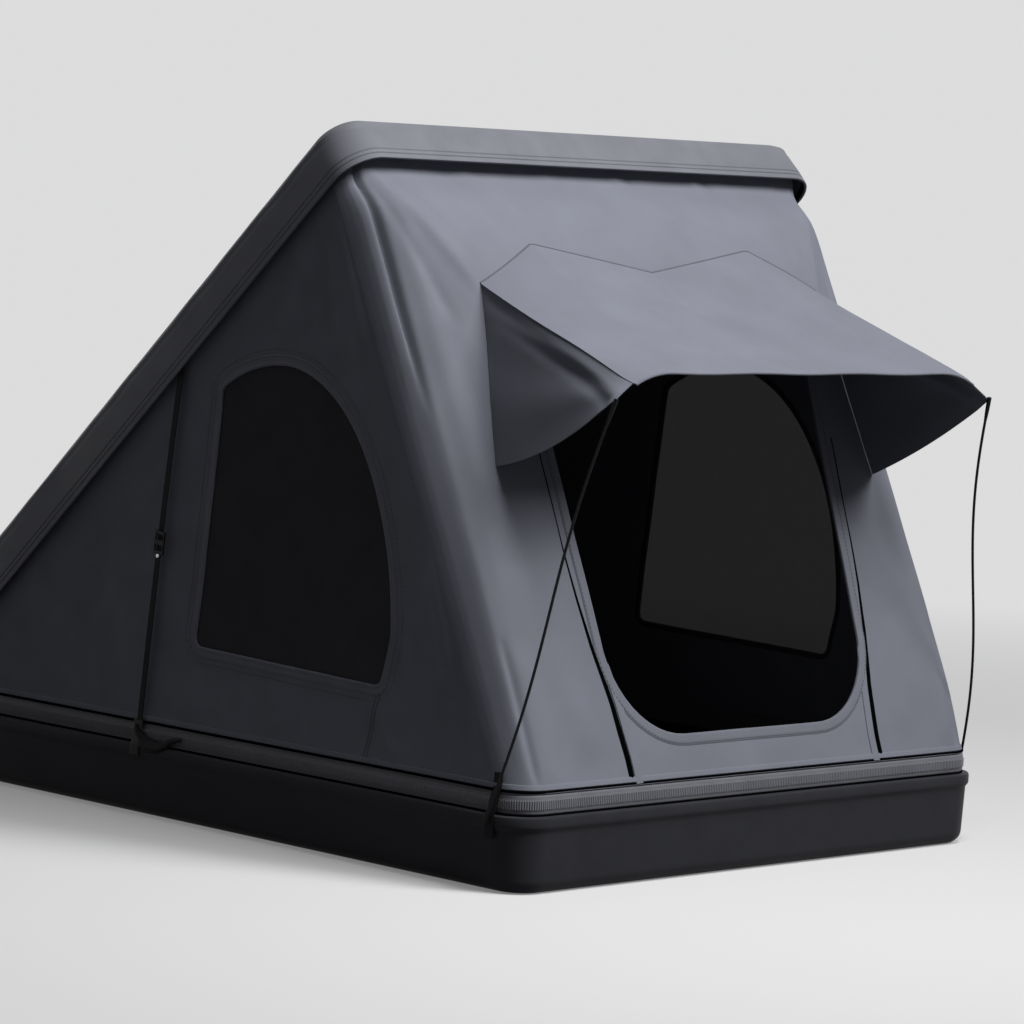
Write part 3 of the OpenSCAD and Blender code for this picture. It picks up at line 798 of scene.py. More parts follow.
def front_drop(x, z):
    """Depth of the front wall's folds, none at its foot and head."""
    height = folds(np.column_stack([-np.abs(x), z]), FRONT_FOLDS) + folds(np.column_stack([x, z]), HEAD_FOLDS)
    return (height + swell(x, z)) * calm((z - RIM, 0.06), (FRONT_HEAD_Z - z, 0.05))


def front_y(x, z):
    return FRONT_FOOT_Y + FRONT_SLOPE * (z - RIM) - front_pull(x, z) - front_drop(x, z)


def on_front(p, height):
    """Point of the front wall at x and z, and height above it."""
    height = np.broadcast_to(height, len(p))
    return np.column_stack([p[:, 0], front_y(p[:, 0], p[:, 1]) + FRONT_NORMAL.y * height,
                            p[:, 1] + FRONT_NORMAL.z * height])


def side_edge(z):
    """Front edge of a side wall at a height, as y."""
    top_y, top_z = opened(-CORE_Y, HEAD)
    return -CORE_Y + (top_y + CORE_Y) * (z - RIM) / (top_z - RIM)


def side_head(y):
    """Head of a side wall, as z."""
    a, b = opened(-CORE_Y, HEAD), opened(CORE_Y, HEAD)
    return a[1] + (b[1] - a[1]) * (y - a[0]) / (b[0] - a[0])


def side_x(y, z):
    """Distance of a side wall from the middle plane: drawn in between its edges, with its folds."""
    up, down, back = z - RIM, (side_head(y) - z) * math.cos(OPEN), y - side_edge(z)
    drawn_in = 0.013 * calm((up, 0.35), (down, 0.30), (back, 0.30))
    height = folds(np.column_stack([y, z]), SIDE_FOLDS) + swell(y, z)
    return SIDE_X - drawn_in + height * calm((up, 0.06), (down, 0.05), (back, 0.05))


def on_side(side):
    """Surface of the left (-1) or right (1) wall, from y and z."""
    def place(p, height):
        return np.column_stack([side * (side_x(p[:, 0], p[:, 1]) + height), p[:, 0], p[:, 1]])
    return place


def window_outline(step=0.008):
    """Outline of the window opening as (y, z), counter-clockwise seen from the right."""
    head, foot, mid, front, rear = 1.066, 0.396, 0.180, 0.392, 0.278
    waist, back = foot + 0.104, 0.748 * rear

    def arch(a, y):
        return (y - mid, waist + (head - waist) * math.sqrt(1 - (y / a) ** 2))

    corners = [(rear - mid, foot + 0.010)]
    corners += [arch(back * 2.16, back * i / 6) for i in range(6, 0, -1)]
    corners += [arch(front, -front * math.sin(math.pi / 2 * i / 24)) for i in range(25)]
    corners.append((0.028 - front - mid, foot - 0.010))
    return evenly(rounded(corners, 0.028), step)


def door_outline(step=0.008):
    """Outline of the door opening as (x, z): two large foot corners, two small head corners."""
    path = []
    for x, z, radius, start in ((0.215, 0.505, 0.200, -92), (0.385, 1.155, 0.060, -3), (-0.385, 1.155, 0.060, 90),
                                (-0.215, 0.505, 0.200, 177)):
        for a in np.radians(start + np.linspace(0, 93, 13)):
            path.append((x + radius * math.cos(a), z + radius * math.sin(a)))
    return evenly(path, step)


def awning_root_z(x):
    """Height of the zigzag seam that sews the awning to the wall."""
    return np.interp(np.abs(x) / AWNING_ROOT, ZIGZAG_AT, ZIGZAG_Z)


def awning_at(u, s):
    """Point of the awning at share u of its half width and share s of the way out."""
    half = AWNING_ROOT + (AWNING_HALF - AWNING_ROOT) * s - 0.012 * np.clip((s - 0.92) / 0.08, 0, 1) ** 2
    x = u * half
    z0 = awning_root_z(u * AWNING_ROOT)
    y0 = front_y(u * AWNING_ROOT, z0) - AWNING_OFF
    y = bezier(y0, y0 + 0.45 * (AWNING_Y - y0), np.full_like(u, AWNING_Y), s)
    z = bezier(z0, z0 + 0.57 * (AWNING_Z - z0), np.full_like(u, AWNING_Z), s)
    sag = 0.012 * (1 - u * u) * np.sin(np.pi * s)
    droop = CORNER_DROP * s ** 4 * (np.clip(np.abs(u) - 0.78, 0, 1) / 0.22) ** 2.4
    z = z - sag - droop + 0.0018 * np.sin(11 * u + 5 * s) * np.sin(7 * s) * s
    return np.column_stack([x, np.minimum(y, front_y(x, z) - AWNING_OFF), z])


def wing_at(s, r, foot_z, bow):
    """Point of the left wing: s from the wall out along the awning's edge, r from that edge down."""
    end = np.full_like(s, -0.995)
    top = awning_at(end, s * 0.985) - (0, 0, 0.0015)
    x = top[:, 0] - r * (0.064 * (1 - s) + 0.060 * s)
    foot = front_y(x, np.full_like(x, foot_z)) - AWNING_OFF
    low_y = bezier(foot, foot + 0.53 * (AWNING_Y - foot), np.full_like(x, AWNING_Y + 0.004), s)
    low_z = bezier(foot_z, foot_z + bow * (WING_TIP - foot_z), WING_TIP, s)
    # A fold runs below the awning's edge to its corner, and slack folds fan out from there
    down = r * (top[:, 2] - low_z)
    fold = (0.018 * s - 0.008) * hump(down - 0.028, 0.015) - 0.010 * s * hump(down - 0.062, 0.016)
    fold = fold + 0.007 * np.sin(np.pi * (3.2 * r + 0.9 * s)) * r * (1 - r) * 2
    x = x - fold * np.sin(np.pi * s) ** 0.6
    y = top[:, 1] * (1 - r) + low_y * r
    z = top[:, 2] * (1 - r) + low_z * r
    # Its inner edge lies on the wall
    root_z = ZIGZAG_Z[-1] + (foot_z - ZIGZAG_Z[-1]) * r
    root_y = awning_at(end, np.zeros_like(s))[:, 1] * (1 - r) + foot * r
    y = y + (front_y(x, root_z) - AWNING_OFF - root_y) * (1 - s) ** 3
    return np.column_stack([x, np.minimum(y, front_y(x, z) - 0.0015), z])


def on_hand(co, side):
    """Points of the left side, mirrored for the right."""
    return co * (-side, 1, 1)


class TENT_OT_base(bpy.types.Operator):
    """Base tray, zip band and zip"""
    bl_idname = "tent.base"
    bl_label = "Base"
    bl_options = {"REGISTER", "UNDO"}

    # Insets and heights of the tray, from its side over the bead and down inside
    TRAY = [(0.007, 0.1270), (0.0066, 0.1325), (0.0048, 0.1362), (0.0018, 0.1392), (0.0003, 0.1425),
            (0, 0.1460), (0, 0.1595), (0.0010, 0.1630), (0.0030, 0.1646), (0.006, TRAY_TOP),
            (0.036, TRAY_TOP), (0.036, 0.157), (0.018, 0.141), (0.018, 0.030), (0.030, 0.007)]
    FOOT_IN, FOOT_R = 0.012, 0.030
    BOLT_X, BOLT_Y, BOLT_R = 0.43, 0.6, 0.00425

    def execute(self, context):
        foot = [(self.FOOT_IN + self.FOOT_R * (1 - math.sin(a)), self.FOOT_R * (1 - math.cos(a)))
                for a in np.linspace(0, math.pi / 2, 9)]
        tray = moulding("base_shell", rings_on(foot + self.TRAY), 16)
        begin()
        bpy.ops.mesh.primitive_cylinder_add(vertices=24, radius=self.BOLT_R, depth=0.03)
        drills = row_of("drills", named("drill"), [Matrix.Translation((x, y, 0.004))
                                                   for x in (-self.BOLT_X, self.BOLT_X)
                                                   for y in (-self.BOLT_Y, self.BOLT_Y)])
        modify(tray, "BOOLEAN", object=drills, operation="DIFFERENCE", solver="EXACT")
        bpy.data.objects.remove(drills)
        settle(tray, "base", "tray", "tray_plastic", "base_tray", angle=32)

        low, high = BAND_IN, BAND_IN + 0.018
        band = moulding("zip_band", rings_on((
            (low + 0.003, TRAY_TOP), (low + 0.003, TRAY_TOP + 0.003), (low + 0.0008, TRAY_TOP + 0.0045),
            (low, TRAY_TOP + 0.007), (low, RIM - 0.007), (low + 0.0008, RIM - 0.0045), (low + 0.003, RIM - 0.003),
            (low + 0.003, RIM), (high, RIM), (high, TRAY_TOP))), 16, joined=True)
        settle(band, "base", "band", "band_plastic", "rim_band")
        # Painted shadow: a black cord at the band's foot for the dark gap between the zip band and the tray's bead
        shadow_cord_on("band_foot_piping", low + 0.0012, TRAY_TOP + 0.0023, 0.0023)

        middle = (TRAY_TOP + RIM) / 2
        tape = moulding("zip_tape", rings_on((
            (low + 0.001, middle - 0.012), (low - 0.0008, middle - 0.0115), (low - 0.0010, middle - 0.0105),
            (low - 0.0010, middle + 0.0105), (low - 0.0008, middle + 0.0115), (low + 0.001, middle + 0.012))),
            16, joined=True)
        settle(tape, "base", "band", "zip", "zip_track")
        self.teeth(CORNER - (low - 0.0012), middle)
        return {"FINISHED"}

    @staticmethod
    def teeth(radius, z):
        """Zip ribs along both sides and the front, round corners of a radius."""
        pitch = sizes().zip_pitch
        path = [(-CORE_X - radius, CORE_Y)] + [(-CORE_X - radius * math.cos(a), -CORE_Y - radius * math.sin(a))
                                               for a in np.linspace(0, math.pi / 2, 16)]
        path = evenly(path + [(-x, y) for x, y in path[::-1]], pitch, False)

        def on_band(p, height):
            out = p - core_of(p)
            out = out / np.linalg.norm(out, axis=1, keepdims=True)
            return np.column_stack([p + out * np.reshape(height, (-1, 1)), np.full(len(p), z)])

        teeth = row_of("zip_teeth", pellet(pitch * 0.60, 0.0195, 0.0026), frames_on(path, on_band, 0, 0.0, False))
        settle(teeth, "base", "zip", "zip", angle=30)


class TENT_OT_lid(bpy.types.Operator):
    """Lid shell with its raised field and its lining"""
    bl_idname = "tent.lid"
    bl_label = "Lid"
    bl_options = {"REGISTER", "UNDO"}

    LIP = TRAY_TOP + 0.001
    ROOF = LID_TOP - 0.007
    # Insets and heights above the lip of the skirt, with its two fine grooves
    SKIRT = ((0.0008, 0), (0, 0.001), (0, 0.0112), (0.0012, 0.0123), (0.0020, 0.0132), (0.0012, 0.0141),
             (0, 0.0152), (0, 0.0220), (0.0014, 0.0232), (0.0022, 0.0243), (0.0016, 0.0254), (0.0002, 0.0268),
             (0.0008, 0.042), (0.0022, 0.065), (0.0032, 0.078))
    SKIRT_IN = 0.0032
    # Insets and heights of the raised field's edge
    FIELD = ((0, 0), (0.004, 0.001), (0.009, 0.005), (0.016, 0.011), (0.023, 0.0150), (0.030, 0.016))
    STUD_Y = HALF_L - 0.675
    QUILT = 0.165

    def execute(self, context):
        section = [(LID_T + 0.012, self.ROOF), (LID_T, self.ROOF - 0.014), (LID_T, self.LIP)]
        rings = rings_on(section + [(inset, self.LIP + rise) for inset, rise in self.SKIRT])
        for a in np.linspace(0.12, math.pi / 2, 11):
            inset, z = self.SKIRT_IN + 0.043 * (1 - math.cos(a)), LID_TOP - 0.046 + 0.046 * math.sin(a)
            radius = CORNER - inset + 1.5 * (inset - self.SKIRT_IN)
            rings.append((HALF_W - inset, HALF_L - inset, radius, 0.0, z))
        rings += [(HALF_W - 0.120 - inset, HALF_L - 0.200 - inset, 0.070, -0.080, LID_TOP + rise)
                  for inset, rise in self.FIELD]
        lid = moulding("lid_moulding", rings, 16, cuts=40)
        put(lid, self.formed(points(lid)))
        settle(lid, "lid", "lid", "lid_plastic", "lid_shell", angle=34)

        half_x, half_y = HALF_W - 0.092, HALF_L - 0.062

        def quilt(u, v):
            x, y = (u * 2 - 1) * half_x, (v * 2 - 1) * half_y
            puff = 0.003 * np.sqrt(np.abs(np.sin(np.pi * x / self.QUILT) * np.sin(np.pi * y / self.QUILT)))
            return np.column_stack([x, *opened(y, self.ROOF - 0.001 - puff)])

        liner = cloth("lid_lining", 96, 144, quilt, (2 * half_x, 2 * half_y))
        thicken(liner, 0.0015, (0, -math.sin(OPEN), -math.cos(OPEN)))
        settle(liner, "lid", "liner", "liner", "lid_liner")
        return {"FINISHED"}

    def formed(self, co):
        """Points of the open lid: slight waves along its sides, and a flatter crown over the struts' studs."""
        shoulder = self.LIP + 0.042
        out = co[:, :2] - core_of(co[:, :2])
        far = np.linalg.norm(out, axis=1, keepdims=True)
        on_skirt = (far[:, 0] > CORNER - 0.03) * calm((co[:, 2] - shoulder, 0.02), (LID_TOP - co[:, 2], 0.03))
        run = co[:, 1] - 0.8 * (co[:, 2] - self.LIP)
        wave = 0.0016 * np.sin(17 * run + 1.2) * np.sin(7.3 * run + 0.3) + 0.0010 * np.sin(41 * run + 2.0)
        wave *= np.abs(co[:, 0]) > CORE_X
        co[:, :2] += out / np.maximum(far, 1e-6) * (wave * on_skirt)[:, None]
        flat = np.exp(-((co[:, 1] - self.STUD_Y) / 0.10) ** 4) * (np.abs(co[:, 0]) > CORE_X)
        flat = flat * (co[:, 2] < 0.270) * (co[:, 2] > shoulder)
        lack = np.clip(HALF_W - 0.0038 - np.abs(co[:, 0]), 0, None) * flat
        co[:, 0] += np.sign(co[:, 0]) * lack
        co[:, 1], co[:, 2] = opened(co[:, 1], co[:, 2])
        return co


class TENT_OT_walls(bpy.types.Operator):
    """Canvas walls, their hem, and their foot piping, made black as painted shade of the gap below the hem"""
    bl_idname = "tent.walls"
    bl_label = "Walls"
    bl_options = {"REGISTER", "UNDO"}

    # Columns of cloth in a corner
    TURN = 32
    # Section of the front corners: across from the front face's end, and back from that face high up and low down
    FOLD_X = (0, 0.032, 0.038, 0.043, 0.046, 0.050, 0.055, 0.061, 0.066, 0.0692, 0.07)
    FOLD_HIGH = (0, 0.000, 0.003, 0.020, 0.0225, 0.0170, 0.0190, 0.0265, 0.042, 0.060, 0.07)
    FOLD_LOW = (0, 0.000, 0.0015, 0.006, 0.009, 0.0145, 0.022, 0.032, 0.045, 0.060, 0.07)
    # Hollow of the front wall under the lid: depth, distance below the head and width
    HOLLOW = (0.034, 0.066, 0.042)
    # Section of the hem: height above the rim and above the cloth
    HEM = np.array(((0.0060, -0.0016), (0.0062, 0.0018), (0.0076, 0.0028), (0.0100, 0.0026), (0.0150, 0.0024),
                    (0.0172, 0.0020), (0.0180, 0.0004), (0.0180, -0.0016)))

    def end_wall(self, columns, front):
        """Place of an end wall with its two rounded corners, from shares across and up."""
        def place(u, v):
            col = u * columns
            angle = (np.clip(col - columns + self.TURN, 0, None) - np.clip(self.TURN - col, 0, None)) / self.TURN
            x0 = (np.clip((col - self.TURN) / (columns - 2 * self.TURN), 0, 1) * 2 - 1) * CORE_X
            return self.loft(x0, np.full_like(x0, -CORE_Y if front else CORE_Y), angle * math.pi / 2, v, front)
        return place

    def loft(self, x0, y0, angle, v, front):
        """Canvas from the zip band to the lid's rail, round a corner centred on x0, y0."""
        foot, head = CORNER - WALL_IN, CORNER - LID_IN
        way = -1 if front else 1
        radius = foot + (head - foot) * v
        x = x0 + np.sin(angle) * radius
        foot_y = y0 + way * foot * np.cos(angle)
        head_y, head_z = opened(y0 + way * head * np.cos(angle), HEAD)
        y = foot_y + (head_y - foot_y) * v
        z = RIM + (head_z - RIM) * v
        if front:
            y = y - np.cos(angle) * (front_pull(x, z) + front_drop(x, z))
            across = np.abs(np.sin(angle))
            size = self.FOLD_X[-1]
            low, high = (np.interp(across * size, self.FOLD_X, row) for row in (self.FOLD_LOW, self.FOLD_HIGH))
            back = (low + (high - low) * ease((z - 0.98) / 0.28)) * radius / size
            share = calm((z - RIM - 0.01, 0.16), (head_z - z, 0.07))
            y = y - (radius * (1 - np.cos(angle)) - back) * share + 0.003 * across ** 30
            depth, below, width = self.HOLLOW
            y = y + depth * hump(head_z - z - below, width) * np.cos(angle)
            x = x + np.sign(np.sin(angle)) * across ** 6 * (SIDE_X + 0.0007 - CORE_X - radius)
        return np.column_stack([x, y, z])

    def execute(self, context):
        t = sizes().canvas_t
        wall = cloth("front_canvas", 240, 168, self.end_wall(240, True), (1.54, 1.49))
        trim(wall, door_outline(0.004), [0, 2], on_front)
        sew(wall, t, FRONT_NORMAL, "canvas", "wall_cloth", "front_wall")
        for side, word in SIDES:
            def strip(front, rear):
                """Place of a side wall between two points of its foot."""
                def place(u, v):
                    y0 = front + (rear - front) * u
                    head_y, head_z = opened(y0, HEAD)
                    return on_side(side)(np.column_stack([y0 + (head_y - y0) * v, RIM + (head_z - RIM) * v]), 0)
                return place

            wall = cloth(word + "_canvas", 180, 128, strip(-CORE_Y, SIDE_REAR), (1.735, 1.30))
            trim(wall, window_outline(0.004), [1, 2], on_side(side))
            sew(wall, t, (side, 0, 0), "canvas", "wall_cloth", word + "_wall")
            # Its rear end is a piece of its own
            end = cloth(word + "_canvas_rear", 14, 16, strip(SIDE_REAR, CORE_Y), (0.135, 0.15))
            sew(end, t, (side, 0, 0), "canvas", "wall_cloth", squash=ROLLS_IN)

        wall = cloth("rear_canvas", 96, 8, self.end_wall(96, False), (1.54, 0.06))
        sew(wall, t, (0, 1, 0.2), "canvas", "wall_cloth", "rear_wall", squash=DRAWS_IN)

        # Piping at the walls' foot, made black as painted shade of the gap between the hem and the zip band
        shadow_cord_on("foot_piping", WALL_IN - 0.0022, RIM + 0.0030, 0.0028)
        self.hem()
        self.seams()
        return {"FINISHED"}

    def hem(self):
        """Doubled foot of the front wall and the side walls, as far as their rear ends."""
        path = self.ring_path()
        rear = (path[:, 1] > SIDE_REAR) | (path[:, 3] > 0.01)
        path = np.roll(path, -np.flatnonzero(rear)[-1] - 1, axis=0)[:np.count_nonzero(~rear)]
        count = len(self.HEM)

        def place(u, v):
            row = self.HEM[step_of(v, count + 1) % count]
            return self.at_foot(path[step_of(u, len(path))], RIM + row[:, 0], row[:, 1])

        hem = cloth("wall_hem", len(path) - 1, count, place, (5.0, 0.04))
        weld(hem)
        in_edit(hem, (bpy.ops.mesh.fill_holes, {"sides": 0}), (bpy.ops.mesh.select_all, {"action": "SELECT"}),
                (bpy.ops.mesh.normals_make_consistent, {"inside": False}))
        settle(hem, "base", "canvas", "wall_cloth", squash=FOLDS_DOWN)

    @staticmethod
    def ring_path():
        """Directions and places round the walls' foot: core point and outward normal."""
        rows = []
        ends = np.array(((CORE_X, -CORE_Y), (CORE_X, CORE_Y), (-CORE_X, CORE_Y), (-CORE_X, -CORE_Y)))
        normals = ((1, 0), (0, 1), (-1, 0), (0, -1))
        for k, (point, end, normal) in enumerate(zip(ends, np.roll(ends, -1, axis=0), normals)):
            rows += [(*point, math.cos(a), math.sin(a)) for a in np.radians(90 * k - 90 + np.linspace(0, 90, 13))]
            steps = 110 if normal[0] else 80
            rows += [(*(point + (end - point) * t), *normal) for t in np.linspace(0, 1, steps)[1:-1]]
        return np.array(rows)

    @staticmethod
    def at_foot(rows, z, height):
        """Point of the walls near their foot, at a height above the cloth."""
        x0, y0, nx, ny = rows.T
        radius = CORNER - WALL_IN
        foot_x, foot_y = x0 + nx * radius, y0 + ny * radius
        head_y, head_z = opened(y0 + ny * (CORNER - LID_IN), HEAD)
        y = foot_y + (head_y - foot_y) * np.clip((z - RIM) / (head_z - RIM), 0, 1)
        y = y - np.clip(-ny, 0, 1) * (front_pull(foot_x, z) + front_drop(foot_x, z))
        x = np.where(np.abs(nx) > 0.999, np.sign(nx) * side_x(y, z), foot_x)
        return np.column_stack([x + nx * height, y + ny * height, z])

    @staticmethod
    def seams():
        """Double seam from each window's front corner to the rim, both ridges in the darker thread finish, which paints
        shade along the seam.
        """
        line = evenly([(-0.545, 0.372), (-0.530, 0.300), (-0.512, RIM + 0.004)], 0.012, False)
        ridge = [(-0.0028, -0.0004), (-0.0014, 0.0010), (0.0014, 0.0010), (0.0028, -0.0004)]
        for side, word in SIDES:
            for k, shift in enumerate((0.0, 0.010)):
                tape = ribbon(f"{word}_seam_{k + 1}", line + (shift, 0), ridge, on_side(side), False)
                sew(tape, 0.0008, (side, 0, 0), "thread", "wall_cloth")


class TENT_OT_windows(bpy.types.Operator):
    """Mesh, binding and stitches of the side windows"""
    bl_idname = "tent.windows"
    bl_label = "Windows"
    bl_options = {"REGISTER", "UNDO"}

    MESH_IN = 0.0045

    def execute(self, context):
        outline = window_outline()
        wide = sizes().binding
        tape = [(0.008, -0.0050), (-0.0010, -0.0052), (-0.0036, -0.0030), (-0.0040, 0.0002), (-0.0028, 0.0024),
                (0.0002, 0.0034), (0.0030, 0.0030), (0.0042, 0.0022), (0.0080, 0.0022), (wide * 0.75, 0.0022),
                (wide - 0.002, 0.0018), (wide, -0.0004)]
        grown = outline + sideways(outline, True) * 0.010
        low, high = grown.min(axis=0) - 0.01, grown.max(axis=0) + 0.01
        flat = tuple(high - low)
        path = evenly(outline, sizes().stitch)
        for side, word in SIDES:
            surface = on_side(side)

            def net(u, v):
                return surface(low + np.column_stack([u, v]) * (high - low), -self.MESH_IN)

            mesh = cloth(f"{word}_window_mesh", 64, 64, net, flat)
            trim(mesh, evenly(grown, 0.004), [1, 2], lambda p, h: surface(p, h - self.MESH_IN), True)
            sew(mesh, 0.0008, (side, 0, 0), "mesh", "mesh", f"window_mesh_{word}")
            binding = ribbon(f"{word}_window_binding", outline, tape, surface)
            sew(binding, 0.0010, (side, 0, 0), "binding", "binding", f"window_binding_{word}")
            # Stitches on the binding and a nearly flat row just outside it, both in the darker thread finish: painted
            # shade along the stitch lines
            stitched(f"{word}_window_stitches", frames_on(path, surface, wide - 0.005, 0.0024)
                     + frames_on(path, surface, wide + 0.011, 0.0002))
        return {"FINISHED"}


class TENT_OT_door(bpy.types.Operator):
    """Binding, stitches and side zips of the door"""
    bl_idname = "tent.door"
    bl_label = "Door"
    bl_options = {"REGISTER", "UNDO"}

    # Distance from the middle and height of the zips, from their heads down
    ZIP = np.array(((0.474, 0.930), (0.463, 0.700), (0.455, 0.600), (0.441, 0.500), (0.417, 0.380), (0.404, 0.270),
                    (0.402, RIM + 0.002)))
    TAPE_TOP = 0.47

    def execute(self, context):
        outline = door_outline()
        wide = sizes().binding
        tape = [(0.010, -0.0050), (-0.0010, -0.0052), (-0.0036, -0.0030), (-0.0040, 0.0002), (-0.0028, 0.0026),
                (0.0002, 0.0034), (0.0040, 0.0030), (wide * 0.5, 0.0026), (wide - 0.003, 0.0024), (wide, -0.0004)]
        binding = ribbon("door_edge_binding", outline, tape, on_front)
        sew(binding, 0.0010, FRONT_NORMAL, "binding", "binding", "door_binding")
        # Stitches in the darker thread finish: painted shade along the stitch line
        stitched("door_stitches", frames_on(evenly(outline, sizes().stitch), on_front, wide - 0.005, 0.0028))
        flat = [(-0.011, -0.0004), (-0.010, 0.0022), (0.0, 0.0026), (0.010, 0.0022), (0.011, -0.0004)]
        for side, word in SIDES:
            line = evenly(self.ZIP * (side, 1), 0.01, False)
            # Each zip shows as a black wedge in the gap finish: painted shade of the open gap between its sides
            slit_shade = cloth(f"door_zip_{word}", len(line) - 1, 4, lambda u, v: self.wedge(line, u, v), (0.65, 0.014))
            # The left one stands for the node of both
            sew(slit_shade, 0.0012, FRONT_NORMAL, "gap", "zip", *(["door_zips"] if side < 0 else []))
            low = line[line[:, 1] < self.TAPE_TOP] - (side * 0.019, 0)
            facing = ribbon(f"door_zip_tape_{word}", low, flat, on_front, False)
            sew(facing, 0.0010, FRONT_NORMAL, "canvas", "binding")
        return {"FINISHED"}

    @staticmethod
    def wedge(line, u, v):
        """Zip that opens from a point at its head to its full width at the rim, as a black sheet: painted shade of the
        open gap.
        """
        k = step_of(u, len(line))
        width = 0.0022 + 0.0145 * np.clip((np.linspace(0, 1, len(line))[k] - 0.25) / 0.60, 0, 1)
        across = (v - 0.5) * width
        bulge = 0.0022 - 0.0024 * (2 * v - 1) ** 2
        return on_front(line[k] + np.column_stack([across, np.zeros_like(across)]), bulge)


class TENT_OT_awning(bpy.types.Operator):
    """Awning panel, its wings, seams and edge"""
    bl_idname = "tent.awning"
    bl_label = "Awning"
    bl_options = {"REGISTER", "UNDO"}

    def execute(self, context):
        panel = cloth("awning_canvas", 96, 56, lambda u, v: awning_at(u * 2 - 1, v), (1.05, 0.62))
        sew(panel, 0.002, (0, -0.4, 1), "canvas", "wall_cloth", "awning_panel", squash=DRAWS_BACK)
        for side, word in SIDES:
            wing = cloth(f"awning_gusset_{word}", 48, 44,
                         lambda u, v: on_hand(wing_at(u, v, *WING_CUT[side]), side), (0.52, 0.36))
            sew(wing, 0.002, (side, 0, 0), "canvas", "wall_cloth", f"awning_wing_{word}", squash=DRAWS_BACK)
        # Zigzag seam, as two ridges, and the piped free edge. The upper ridge takes the darker thread finish, painted
        # shade along the seam; the lower one is plain canvas.
        x = np.linspace(-AWNING_ROOT, AWNING_ROOT, 97)
        ridge = [(-0.0022, -0.0004), (-0.0010, 0.0026), (0.0010, 0.0026), (0.0022, -0.0004)]
        for k, (drop, look) in enumerate(((0.0, "thread"), (0.010, "canvas"))):
            line = np.column_stack([x, awning_root_z(x) - drop])
            seam = ribbon(f"awning_seam_{k + 1}", line, ridge, on_front, False)
            sew(seam, 0.0008, FRONT_NORMAL, look, "binding", squash=DRAWS_BACK)
        u = np.linspace(-1, 1, 81)
        edge = awning_at(u, np.ones_like(u)) + (0, 0.001, -0.001)
        piping = tube("awning_edge", edge, np.full(len(u), 0.0030))
        settle(piping, "base", "binding", "binding", squash=DRAWS_BACK)
        return {"FINISHED"}


class TENT_OT_rods(bpy.types.Operator):
    """Sprung rods of the awning and their tabs on the rim"""
    bl_idname = "tent.rods"
    bl_label = "Awning rods"
    bl_options = {"REGISTER", "UNDO"}

    # Foot and tip of the left rod, and how far it bends
    FOOT = np.array([-HALF_W - 0.014, -HALF_L + 0.095, TRAY_TOP - 0.018])
    TIP = np.array([-AWNING_HALF - 0.046, AWNING_Y - 0.001, WING_TIP + 0.004])
    BEND = 0.016
    # Width of a tab, and its line over the rim as distance from the middle and height
    TAB = 0.024
    TAB_LINE = ((SIDE_X + 0.0005, RIM + 0.040), (SIDE_X + 0.0012, RIM + 0.015), (HALF_W + 0.0010, TRAY_TOP + 0.002),
                (HALF_W + 0.0028, TRAY_TOP - 0.006), (HALF_W + 0.0028, TRAY_TOP - 0.050))

    def execute(self, context):
        radius = sizes().rod_r
        s = np.linspace(0, 1, 49)
        path = self.FOOT + (self.TIP - self.FOOT) * s[:, None]
        path = path + self.BEND * np.sin(2 * np.pi * s)[:, None] * (-0.2, -1, 0)
        # Its ends are capped
        thick = np.full(len(s), radius)
        thick[:2] = thick[-2:] = radius + 0.0018
        thick[2] = thick[-3] = radius + 0.0012
        line = evenly(self.TAB_LINE, 0.005, False)
        for side, word in SIDES:
            way = on_hand(path, side)
            settle(tube(f"awning_strut_{word}", way, thick), f"awning_rod_{word}", "trim", "rod_black",
                   f"awning_rod_{word}", squash=(tuple(way[-1] - way[0]), tuple(way[0]), 0.02))

            def place(u, v):
                x, z = line[step_of(u, len(line))].T
                return np.column_stack([side * x, self.FOOT[1] - 0.004 + (v - 0.5) * self.TAB, z])

            tab = cloth(f"rod_loop_{word}", len(line) - 1, 6, place, (0.16, self.TAB))
            sew(tab, 0.0022, (side, 0, 0), "webbing", "webbing", f"rod_tab_{word}", squash=TUCKS_UNDER)
        return {"FINISHED"}


